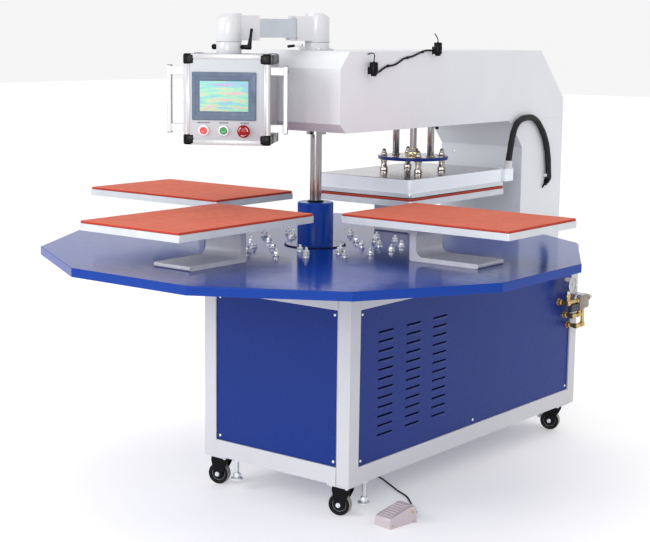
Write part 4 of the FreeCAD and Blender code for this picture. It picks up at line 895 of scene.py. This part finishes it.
def lasers():
    """Two aiming lasers on brackets, and the twisted pair of leads between them."""
    body = Piece()
    metal = Piece()
    for y, z in LASERS:
        spot = shift(LASER_X, y, z)
        body.lathe([(7, -5), (9.2, -5), (9.2, 0), (12.4, 1), (13.8, 4), (14, 11), (13.3, 12), (13.3, 14),
                    (14.2, 15), (14.2, 26), (13.3, 27), (13.3, 29), (14, 30), (13.8, 36), (12.2, 39.6),
                    (4, 40), (3.6, 41.5), (2, 42)], spot, 36)
        body.block((9, 20, 22), (184, y, z + 12), 1.2)
        metal.block((2.4, 27, 31), (181.4, y, z + 11), 0.8)
        metal.lathe([(5.4, -6.2), (8.2, -6.2), (8.6, -5), (5.4, -4.6)], spot, 28)
        for dz in (0, 22):
            pan_head(metal, there(182.4, y + 9, z + dz, (1, 0, 0)), 2.6)
    for (y, z), reach in zip(LASERS, (24, -26)):
        loop = [(LASER_X, y, z + 38), (LASER_X, y + reach * 0.05, z + 50), (197, y + reach * 0.25, z + 60),
                (193, y + reach * 0.3, z + 66), (187, y + reach * 0.1, z + 68),
                (182, y - reach * 0.4, z + 64)]
        body.sweep(loop, 1.8, 10)
    body.emit("laser_bodies", "black_plastic", "root", 35, "black_plastic", ["laser_pods"])
    metal.emit("laser_brackets", "zinc", "root", 35)
    x = 185
    side = [
        (x, 60, 1410), (x + 1, 76, 1403), (x, 94, 1405), (x - 1, 114, 1416), (x, 140, 1423), (x, 168, 1424),
        (x, 193, 1431), (x + 1, 220, 1445), (x, 250, 1449), (x, 280, 1453), (x, 310, 1462), (x, 337, 1469),
        (x, 362, 1473), (x, 390, 1472),
    ]
    route = followed("lead_guide", [at(*p) for p in side])
    strands = Piece(Matrix.Scale(MILLIMETRE, 4))
    lay = 17
    offset = 2.0
    for phase in (0, math.pi):
        path = []
        run = 0.0
        for i, point in enumerate(route):
            ahead = route[min(i + 1, len(route) - 1)]
            behind = route[max(i - 1, 0)]
            tangent = (ahead - behind).normalized()
            out = Vector((1, 0, 0))
            across = tangent.cross(out).normalized()
            run += (point - behind).length if i else 0
            turn = run / lay * 2 * math.pi + phase
            path.append(point + (out * math.cos(turn) + across * math.sin(turn)) * offset)
        strands.sweep(path, 1.9, 8)
    strands.emit("laser_leads", "black_rubber", "root", 60, "black_rubber", ["laser_cable"])
    clips = Piece()
    for y, z in ((140, 1423), (250, 1449), (337, 1468)):
        clips.block((6.5, 8, 9), (183.6, y, z), 1.4)
    clips.emit("lead_clips", "black_plastic", "root")


# ---------------------------------------------------------------- control head

def control_box():
    """Box of grooved aluminium profile with black corners, a framed screen, and three buttons."""
    place = local(*BOX_PLACE)
    wide, deep, high = 270, 190, 277
    proud = 1.4
    width = 20

    profile = Piece(place)

    def corner_outline(sx, sy):
        """Grooved section of one upright profile, from the box's outer corner inwards."""
        section = [(width, 0), (13, 0), (13, 1.2), (11, 1.2), (11, 0), (8, 0), (4, 0.8), (1.6, 2.4), (0.4, 5),
                   (0, 8), (0, 11), (1.2, 11), (1.2, 13), (0, 13), (0, width), (3, width), (width, 3)]
        x, y = sx * (wide / 2 + proud), sy * (deep / 2 + proud)
        points = [(x - sx * inward, y - sy * back) for inward, back in section]
        return points if sx * sy > 0 else list(reversed(points))

    for sx, sy in CORNERS:
        profile.prism(corner_outline(sx, sy), 30, high - 30, inset=0.2)
    for sy in SIDES:
        for z in (7, high - 7):
            outward = proud if z > high / 2 else -proud
            profile.block((wide - 44, 4, 14 + proud), (0, sy * (deep / 2 - 0.6), z + outward / 2), 1.2)
    profile.emit("box_profile", "box_aluminium", "control_head", 30)

    corners = Piece(place)
    inner = 15.4
    for sx, sy in CORNERS:
        for z in (14.6, high - 14.6):
            centre = (sx * (wide / 2 - inner), sy * (deep / 2 - inner), z)
            corners.block((35, 35, 33.6), centre, 6.5, segments=4)
    for sx in SIDES:
        for z in (16, high - 16):
            corners.block((4, deep - 56, 30), (sx * (wide / 2 - 0.4), 0, z), 1.6)
    corners.emit("box_corners", "black_plastic", "control_head", 30)

    # Side and back plates in the darker grey: painted shade.
    sides = Piece(place)
    for sx in SIDES:
        sides.block((1.6, deep - 44, high - 66), (sx * (wide / 2 + 0.1), 0, high / 2), 0.6)
    sides.block((wide - 44, 1.6, high - 36), (0, deep / 2 + 0.1, high / 2), 0.6)
    sides.emit("box_plates_painted_shade", "box_grey_painted_shade", "control_head", slot="box_aluminium")
    sheet = Piece(place)
    sheet.block((wide - 42, 1.4, high - 34), (0, -deep / 2 - 0.2, high / 2), 0.5)
    sheet.emit("box_front_sheet", "box_sheet", "control_head", slot="box_aluminium")

    front = -deep / 2
    middle = (-8, 149)
    bezel = Piece(place)
    upright = shift(0, front - 0.6, 0) @ Matrix.Rotation(math.radians(90), 4, "X")

    def frame_ring(long, tall, radius, depth):
        return [upright @ Vector((middle[0] + px, middle[1] + py, depth))
                for px, py in round_rectangle(long, tall, radius)]

    bezel.grid([frame_ring(201, 148, 3, 0), frame_ring(201, 148, 3, 3.4), frame_ring(197, 144, 3, 5.4),
                frame_ring(179, 124, 2.5, 5.6), frame_ring(176, 121, 2.5, 4.6), frame_ring(163, 104, 2, 4.4),
                frame_ring(153, 94, 1.5, 3.2), frame_ring(151, 92, 1.5, 2.6), frame_ring(151, 92, 1.5, 0.4)])
    for step in (-13, 0, 13):
        bezel.lathe([(1, 5.2), (3.4, 5.4), (3.6, 6.1), (3.0, 6.5), (0.3, 6.6)],
                    upright @ shift(middle[0] + 88, middle[1] + step, 0), 20)
    bezel.emit("screen_frame", "screen_bezel", "control_head", 30, "screen_bezel", ["touch_screen"])
    inner = Piece(place)
    inner.block((152, 1.6, 93), (middle[0], front - 3.0, middle[1]), 0.4)
    inner.emit("screen_panel", "display", "control_head", slot="screen_bezel")

    stop_x, start_x, emergency_x = -72, -9, 56.5
    button_z = 43
    label_z = 67
    gap = 2
    marks = Piece(place)
    for x, dashes in ((stop_x, (12, 7, 9, 5)), (start_x, (9, 6, 8)), (emergency_x, (7, 9, 6))):
        start = x - (sum(dashes) + gap * (len(dashes) - 1)) / 2
        for dash in dashes:
            marks.block((dash, 0.5, 4.2), (start + dash / 2, front - 1.1, label_z), 0.2)
            start += dash + gap
    marks.emit("label_bars", "label_grey", "control_head", slot="screen_bezel")

    collars = Piece(place)
    for x, radius in ((stop_x, 17), (start_x, 17), (emergency_x, 19)):
        spot = there(x, front - 0.8, button_z, (0, -1, 0))
        collars.lathe([(11.6, 0), (radius - 0.5, 0), (radius, 1.2), (radius - 0.4, 5.2),
                       (radius - 1.6, 6.6), (11.8, 6.8), (11.5, 5)], spot, 40)
    collars.emit("button_collars", "collar_white", "control_head", 40, "box_aluminium")
    for name, x, material in (("stop_button", stop_x, "button_red"),
                              ("start_button", start_x, "button_green")):
        cap = Piece(place)
        cap.lathe([(10, -16), (10.9, -16), (10.9, 9.4), (10.4, 11.0), (9.0, 11.7), (6, 11.4), (0.3, 11.2)],
                  there(x, front, button_z, (0, -1, 0)), 40)
        cap.emit(name + "_cap", material, name, 40, replaces=[name])
    knob = Piece(place)
    spot = there(emergency_x, front, button_z, (0, -1, 0))
    knob.lathe([(9.6, -18), (9.9, -17), (9.9, 8), (11.5, 12), (18.6, 18.5), (20, 20.5), (20, 24),
                (18.8, 27), (14, 29.2), (7, 30), (0.3, 30.1)], spot, 48)
    arcs = Piece(place)
    for i in range(3):
        angle = 2 * math.pi * i / 3
        arc = [spot @ Vector((13.6 * math.cos(angle + 0.2 * k), 13.6 * math.sin(angle + 0.2 * k), 29.4))
               for k in range(7)]
        arcs.sweep(arc, 1.0, 8, taper=lambda t: 1.3 - 0.9 * t)
    knob.emit("emergency_cap", "button_dark_red", "emergency_button", 40, "button_red", ["emergency_button"])
    arcs.emit("emergency_arcs", "collar_white", "emergency_button", 40, "button_red")

    ends = Piece(place)
    handle_y = -78
    for sx in SIDES:
        for z in (35.5, 242.5):
            ends.block((13, 25, 2.6), (sx * 182, handle_y, z), 1.0)
        for z in (51, 227):
            socket_head(ends, there(sx * 188, handle_y, z, (sx, 0, 0)), 4.4, 1.4)
    ends.emit("handle_ends", "label_grey", "control_head", 40, "box_aluminium")
    back = Piece(place)
    for x in (-104, 104):
        for z in (30, high - 30):
            pan_head(back, there(x, deep / 2 + 0.9, z, (0, 1, 0)), 4)
    for z in (70, high - 70):
        back.lathe([(2, -16), (4.4, -16), (4.4, 16), (2, 16)], shift(-113, deep / 2 + 4, z), 20)
    back.emit("box_back_screws", "zinc", "control_head", 40)


def support_details():
    """Seams of the elbows, the clamping levers and the screws of the flange."""
    seams = Piece()
    ring = [(38, -0.6), (40.25, -0.6), (40.25, 0.8), (38, 0.8)]
    seams.lathe(ring, there(0, 0, ELBOW_SEAM_Z), 64)
    seams.lathe(ring, there(-128, -284, 1495.9), 64)
    seams.emit("elbow_seams", "label_grey", "support_arm", slot="arm_white")
    screws = Piece()
    for sx, sy in CORNERS[1:]:
        socket_head(screws, there(31 * sx, 31 * sy, 1475), 4.6, 4)
    screws.emit("flange_screws", "zinc", "root", 30)
    handle = Piece(local(*BOX_LEVER_PLACE))
    tilt = shift(69, 0, 0) @ Matrix.Rotation(math.radians(8), 4, "Y")
    handle.lathe([(3.4, 16), (3.9, 17), (3.9, 42), (6.6, 42.4), (7.5, 43.4), (7.5, 60), (7.9, 61),
                  (7.9, 74), (6.6, 75), (0.3, 75.2)], facing((1, 0, 0)), 32)
    handle.lathe([(6.4, -4), (6.9, 0), (6.5, 12), (4.7, 30), (4.3, 44), (4.9, 52), (4.4, 56.5),
                  (2.6, 58.4), (0.3, 58.6)], tilt, 28)
    handle.emit("box_clamp_lever", "black_plastic", "box_lever", 45, "black_plastic", ["box_lever"])
    knob = Piece(local(*BOX_LEVER_PLACE))

    def lobed(angle, radius, height):
        return radius * (1 + 0.05 * math.cos(8 * angle)) if height < -46 and radius > 6 else radius

    knob.lathe([(0.4, -57.5), (6.6, -57.2), (8.2, -55.6), (8.4, -47), (7.4, -45.4), (7.4, -40.4),
                (5, -40.2)], facing((1, 0, 0)), 28, lobed)
    knob.emit("swivel_screw_head", "black_plastic", "control_head", 45)
    arm = Piece(local(*BASE_LEVER_PLACE))
    outward = facing((1, 0, -0.12))
    arm.lathe([(2.4, 8), (2.9, 8.4), (2.9, 12.6), (6, 12.6), (6.5, 13.4), (6.5, 19.6), (5.8, 20.4),
               (0.3, 20.5)], shift(52, 0, 0), 32)
    arm.lathe([(2.3, 0), (2.4, 24), (1.6, 26)], shift(52, 0, 17) @ outward, 20)
    arm.emit("base_clamp_arm", "zinc", "base_lever", 45, "black_plastic", ["base_lever"])
    grip = Piece(local(*BASE_LEVER_PLACE))
    grip.lathe([(2.4, 0), (4.0, 0.6), (4.6, 3), (4.3, 12), (4.7, 20), (4.1, 23.4), (2.2, 24.6), (0.3, 24.7)],
               shift(72, 0, 14.6) @ outward, 28)
    grip.emit("base_clamp_grip", "black_plastic", "base_lever", 45)


# ---------------------------------------------------------------- air supply

# Takes an outline drawn in x and y, and its thickness along z, to y, z and x.
SIDEWAYS = Matrix(((0, 0, 1, 0), (1, 0, 0, 0), (0, 1, 0, 0), (0, 0, 0, 1)))


def air_supply():
    """Regulator with its coil, bracket, gauge and brass plumbing on the right rear post."""
    x = AIR_X
    body = Piece()
    body.block((19, 69, 48), (x, 1232, 516.5), 2.0)
    body.block((19, 27, 9), (x, 1211, 488.6), 1.8)
    body.lathe([(5.1, 489.5), (9.4, 489.5), (9.8, 490.5), (9.8, 494), (5.1, 494)], shift(x, 1255, 0), 32)
    body.lathe([(7, 1266), (12.5, 1266), (12.5, 1268.5), (9.5, 1269.4)],
               there(x, 0, REGULATOR_Z, (0, 1, 0)), 36)
    for z in (498, 535):
        body.block((20.4, 60, 1.6), (x, 1232, z), 0.5)
    body.emit("regulator_body", "regulator_grey", "root", 30, "regulator_grey", ["air_regulator"])
    coil = Piece()
    outline = [(1136, 491), (1142, 485), (1196, 485), (1196, 513.5), (1138, 513.5), (1136, 511)]
    coil.prism(outline, 333.4, 348.6, SIDEWAYS, 1.5)
    coil.block((17, 6, 30), (341, 1193, 499), 1.2)
    coil.emit("valve_coil", "coil_slate", "root", 30, "regulator_grey")
    bracket = Piece()
    bracket.block((3.4, 44, 45), (308.8, 1230, 522.5), 1.0)
    bracket.block((44, 54, 2.8), (329, 1230, 542.6), 1.0)
    for y in (1216, 1244):
        socket_head(bracket, there(310.3, y, 512, (1, 0, 0)), 4.5, 4)
        pan_head(bracket, there(x, y, 544, (0, 0, 1)), 4)
    bracket.emit("regulator_bracket", "gauge_steel", "root", 30, "zinc")
    knob = Piece()

    def fluted(angle, radius, height):
        return radius * (1 - 0.05 * (math.sin(18 * angle) > 0.2)) if 1270 < height < 1290 else radius

    knob.lathe([(6, 1267.4), (8.9, 1267.6), (9.1, 1269), (9.1, 1289), (8.4, 1292), (6.5, 1293),
                (0.4, 1293.1)],
               there(x, 0, REGULATOR_Z, (0, 1, 0)), 48, fluted)
    knob.emit("regulator_cap", "knob_pale", "regulator_knob", 30, "black_plastic", ["regulator_knob"])

    brass = Piece()
    runs = [(GAUGE_Y, 524, 1196.6, 14.5, None), (1155, 469, 1206, 12.5, 483.6),
            (1186, 426, 1234, 12.5, 491.5)]
    for y, z, end, flange, rise in runs:
        out = there(0, y, z, (1, 0, 0))
        brass.lathe([(5, 302.2), (flange, 302.2), (flange + 0.4, 303.2), (flange - 0.4, 306.6), (8, 308),
                     (5, 308)], out, 40)
        brass.nut(21, 10, there(308, y, z, (1, 0, 0)), 6)
        brass.lathe([(5, 316), (6.8, 316), (6.8, 326), (8.6, 327), (8.6, 333), (5, 334)], out, 32)
        brass.block((19, 19, 19), (x, y, z), 3.2, segments=3)
        along = there(x, 0, z, (0, 1, 0))
        brass.lathe([(5, y + 8), (8.4, y + 8.4), (8.4, y + 12), (6.8, y + 13), (6.8, end - 16),
                     (5, end - 15)], along, 32)
        brass.nut(18, 9, there(x, end - 17, z, (0, 1, 0)), 5)
        if rise:
            brass.block((16.5, 16.5, 16.5), (x, end, z), 2.8, segments=3)
            brass.lathe([(5, z + 7), (8, z + 8), (8, z + 11), (6.8, z + 12), (6.8, rise - 5),
                         (8.4, rise - 4.6), (8.4, rise), (5, rise)], shift(x, end, 0), 32)
        else:
            brass.lathe([(5, end - 8.5), (6.8, end - 8.4), (6.8, end), (5, end)], along, 32)
    riser = shift(x, GAUGE_Y, 0)
    brass.lathe([(5, 532), (8.4, 532.6), (8.4, 537), (6.8, 538), (6.8, 548), (5, 549)], riser, 32)
    brass.nut(18, 9, riser @ shift(0, 0, 548), 5)
    brass.lathe([(5, 556), (6.8, 556.4), (6.8, 568), (5, 569)], riser, 32)
    brass.emit("brass_plumbing", "brass_fitting", "root", 30, "brass_fitting", ["air_fittings"])

    centre = shift(0, GAUGE_Y, GAUGE_Z)
    gauge = centre @ facing((1, 0, 0))
    case = Piece()
    case.lathe([(4, 330), (26, 330), (28, 332), (28, 355), (29.4, 356), (30, 357.5), (30, 361.5), (29, 363),
                (27, 363), (26.4, 361.8), (26.4, 357.4), (4, 357.2)], gauge, 64)
    case.lathe([(5, 559), (8.8, 559), (8.8, 570), (5, 572)], riser, 32)
    case.emit("gauge_case", "gauge_steel", "root", 30, "gauge_steel", ["pressure_gauge"])
    dial = Piece()
    dial.lathe([(0.4, 357.2), (26.3, 357.2), (26.3, 358.2), (0.4, 358.3)], gauge, 48)
    dial.emit("gauge_dial", "dial_white", "root", 30, "gauge_steel")
    marks = Piece()
    divisions = 24
    for i in range(divisions + 1):
        angle = math.radians(-45 + 270 * i / divisions)
        reach = 4.2 if i % 4 == 0 else 2.2
        turned = centre @ Matrix.Rotation(angle, 4, "X")
        marks.block((0.4, reach, 0.7), (358.4, 24 - reach / 2, 0), 0.1, turned)
    needle = centre @ Matrix.Rotation(math.radians(75), 4, "X")
    marks.prism([(-5, -0.9), (4, -0.8), (18, -0.25), (18, 0.25), (4, 0.8), (-5, 0.9)], 358.7, 359.3,
                needle @ SIDEWAYS, 0.1)
    marks.lathe([(0.5, 358.4), (2.2, 358.4), (2.2, 359.8), (0.3, 360)], gauge, 20)
    marks.emit("gauge_marks", "black_plastic", "root", 30, "gauge_steel")
    glass = Piece()
    glass.lathe([(0.4, 360.6), (26.2, 360.4), (26.2, 361.2), (14, 361.9), (0.4, 362.1)], gauge, 48)
    glass.emit("gauge_glass", "glass", "root", 60, "gauge_steel")


# ---------------------------------------------------------------- pedal

def pedal():
    """Ribs, screws and ears on the foot pedal, and the strain relief of its lead."""
    place = local(*PEDAL_PLACE)
    ribs = Piece(place)
    count = 7
    wide = 47
    steps = 16
    for i in range(count):
        t = (i + 0.5) / count
        y = -50 + 79 * t
        z = 34 + 24 * t
        row = [(wide * (k / steps - 0.5), y + 1.2 * math.sin(k * 0.9 + i), z + 0.6 + 0.25 * math.sin(k * 2.1))
               for k in range(steps + 1)]
        ribs.sweep(row, 2.3, 10, taper=lambda s: 0.55 + 0.45 * min(1, 8 * s, 8 * (1 - s)))
    ribs.emit("treadle_ribs", "pedal_casting", "pedal_treadle", 60)
    screws = Piece(place)
    for side in SIDES:
        pan_head(screws, there(side * 33, 41, 36, (side, 0, 0)), 4.5)
        pan_head(screws, there(side * 33, -46, 10, (side, 0, 0)), 3.2)
    screws.emit("pedal_screws", "brass_fitting", "root", 40)
    ears = Piece(place)
    for side in SIDES:
        ears.lathe([(2.4, 0), (8, 0), (8.4, 0.8), (7.6, 3), (2.4, 3.2)], shift(side * 36, 48, 0), 28)
    ears.emit("pedal_ears", "pedal_side", "root", 40, "pedal_casting")
    relief = Piece(place)
    relief.lathe([(3.2, -2), (6.2, -2), (6.4, 2), (5.4, 4), (5.6, 7), (4.6, 9), (4.8, 12), (4.0, 14),
                  (4.0, 22), (3.3, 26)],
                 there(0, 61, 13, (0.12, 1, 0)), 24)
    relief.emit("lead_relief", "black_rubber", "root", 50)


def pedal_lead():
    """Lead from the gland under the cabinet, across the floor and into the back of the pedal."""
    route = [
        (-60, 258, 86), (-61, 258, 58), (-57, 258, 32), (-40, 257, 11), (-13, 254, 4), (20, 252, 3),
        (58, 249, 3), (97, 238, 3), (136, 222, 3), (174, 196, 3), (214, 172, 3), (250, 148, 3),
        (286, 132, 3), (318, 110, 3), (346, 82, 3), (374, 52, 3), (403, 24, 3), (430, 0, 6),
        (442.3, -30.6, 13), (438.5, -57.6, 13),
    ]
    lead = spline_curve("pedal_lead", [at(*p) for p in route], 0.006)
    lead.data.materials.append(MATERIALS["black_rubber"])
    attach(lead, "root")
    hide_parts("pedal_cable")


# ---------------------------------------------------------------- carried-over CAD nodes

SPECIAL = {"platen_cover": "cover_white", "support_elbows": "elbow_white", "support_base": "elbow_white",
           "box_swivel": "elbow_white", "support_tube": "tube_aluminium", "control_box": "box_sheet",
           "table_plate": "table_blue", "hub_sleeve": "table_blue"}
ROUNDED = {"cabinet_frame": 1.6, "end_panels": 0.6, "side_panels": 0.5, "deck_plate": 1.2,
           "column_shell": 0.7, "arm_shell": 0.7, "platens": 1.2, "heat_platen": 1.0,
           "platen_cover": 1.6, "support_elbows": 1.8, "support_tube": 1.2, "support_base": 1.0,
           "box_swivel": 1.0, "control_box": 1.0, "box_handles": 2.4, "pressure_disc": 0.5,
           "pedal_base": 2.0, "pedal_treadle": 1.6, "electrics_box": 1.5, "index_motor": 1.5,
           "guide_rods": 0.8, "hub_sleeve": 0.5, "press_cylinder": 1.2, "cable_gland": 0.5}


def dress_nodes():
    """Give every carried-over node its finish, and soften its sharp edges."""
    for row in frame["record"]["subparts"]:
        name = row["node"]
        obj = frame["nodes"][name]
        obj.data.materials.clear()
        obj.data.materials.append(MATERIALS[SPECIAL.get(name, row["material_slot"])])
        if name in ROUNDED and not obj.hide_render:
            weld = obj.modifiers.new("weld", "WELD")
            weld.merge_threshold = 0.00001
            bevel = obj.modifiers.new("edge", "BEVEL")
            bevel.width = ROUNDED[name] / 1000
            bevel.segments = 2
            bevel.limit_method = "ANGLE"
            bevel.angle_limit = math.radians(40)
            bevel.harden_normals = True


make_materials()
camera()
studio()
pads()
hub_fixings()
panel_details()
casters()
feet()
press_head()
conduit()
lasers()
control_box()
support_details()
air_supply()
pedal()
pedal_lead()
dress_nodes()
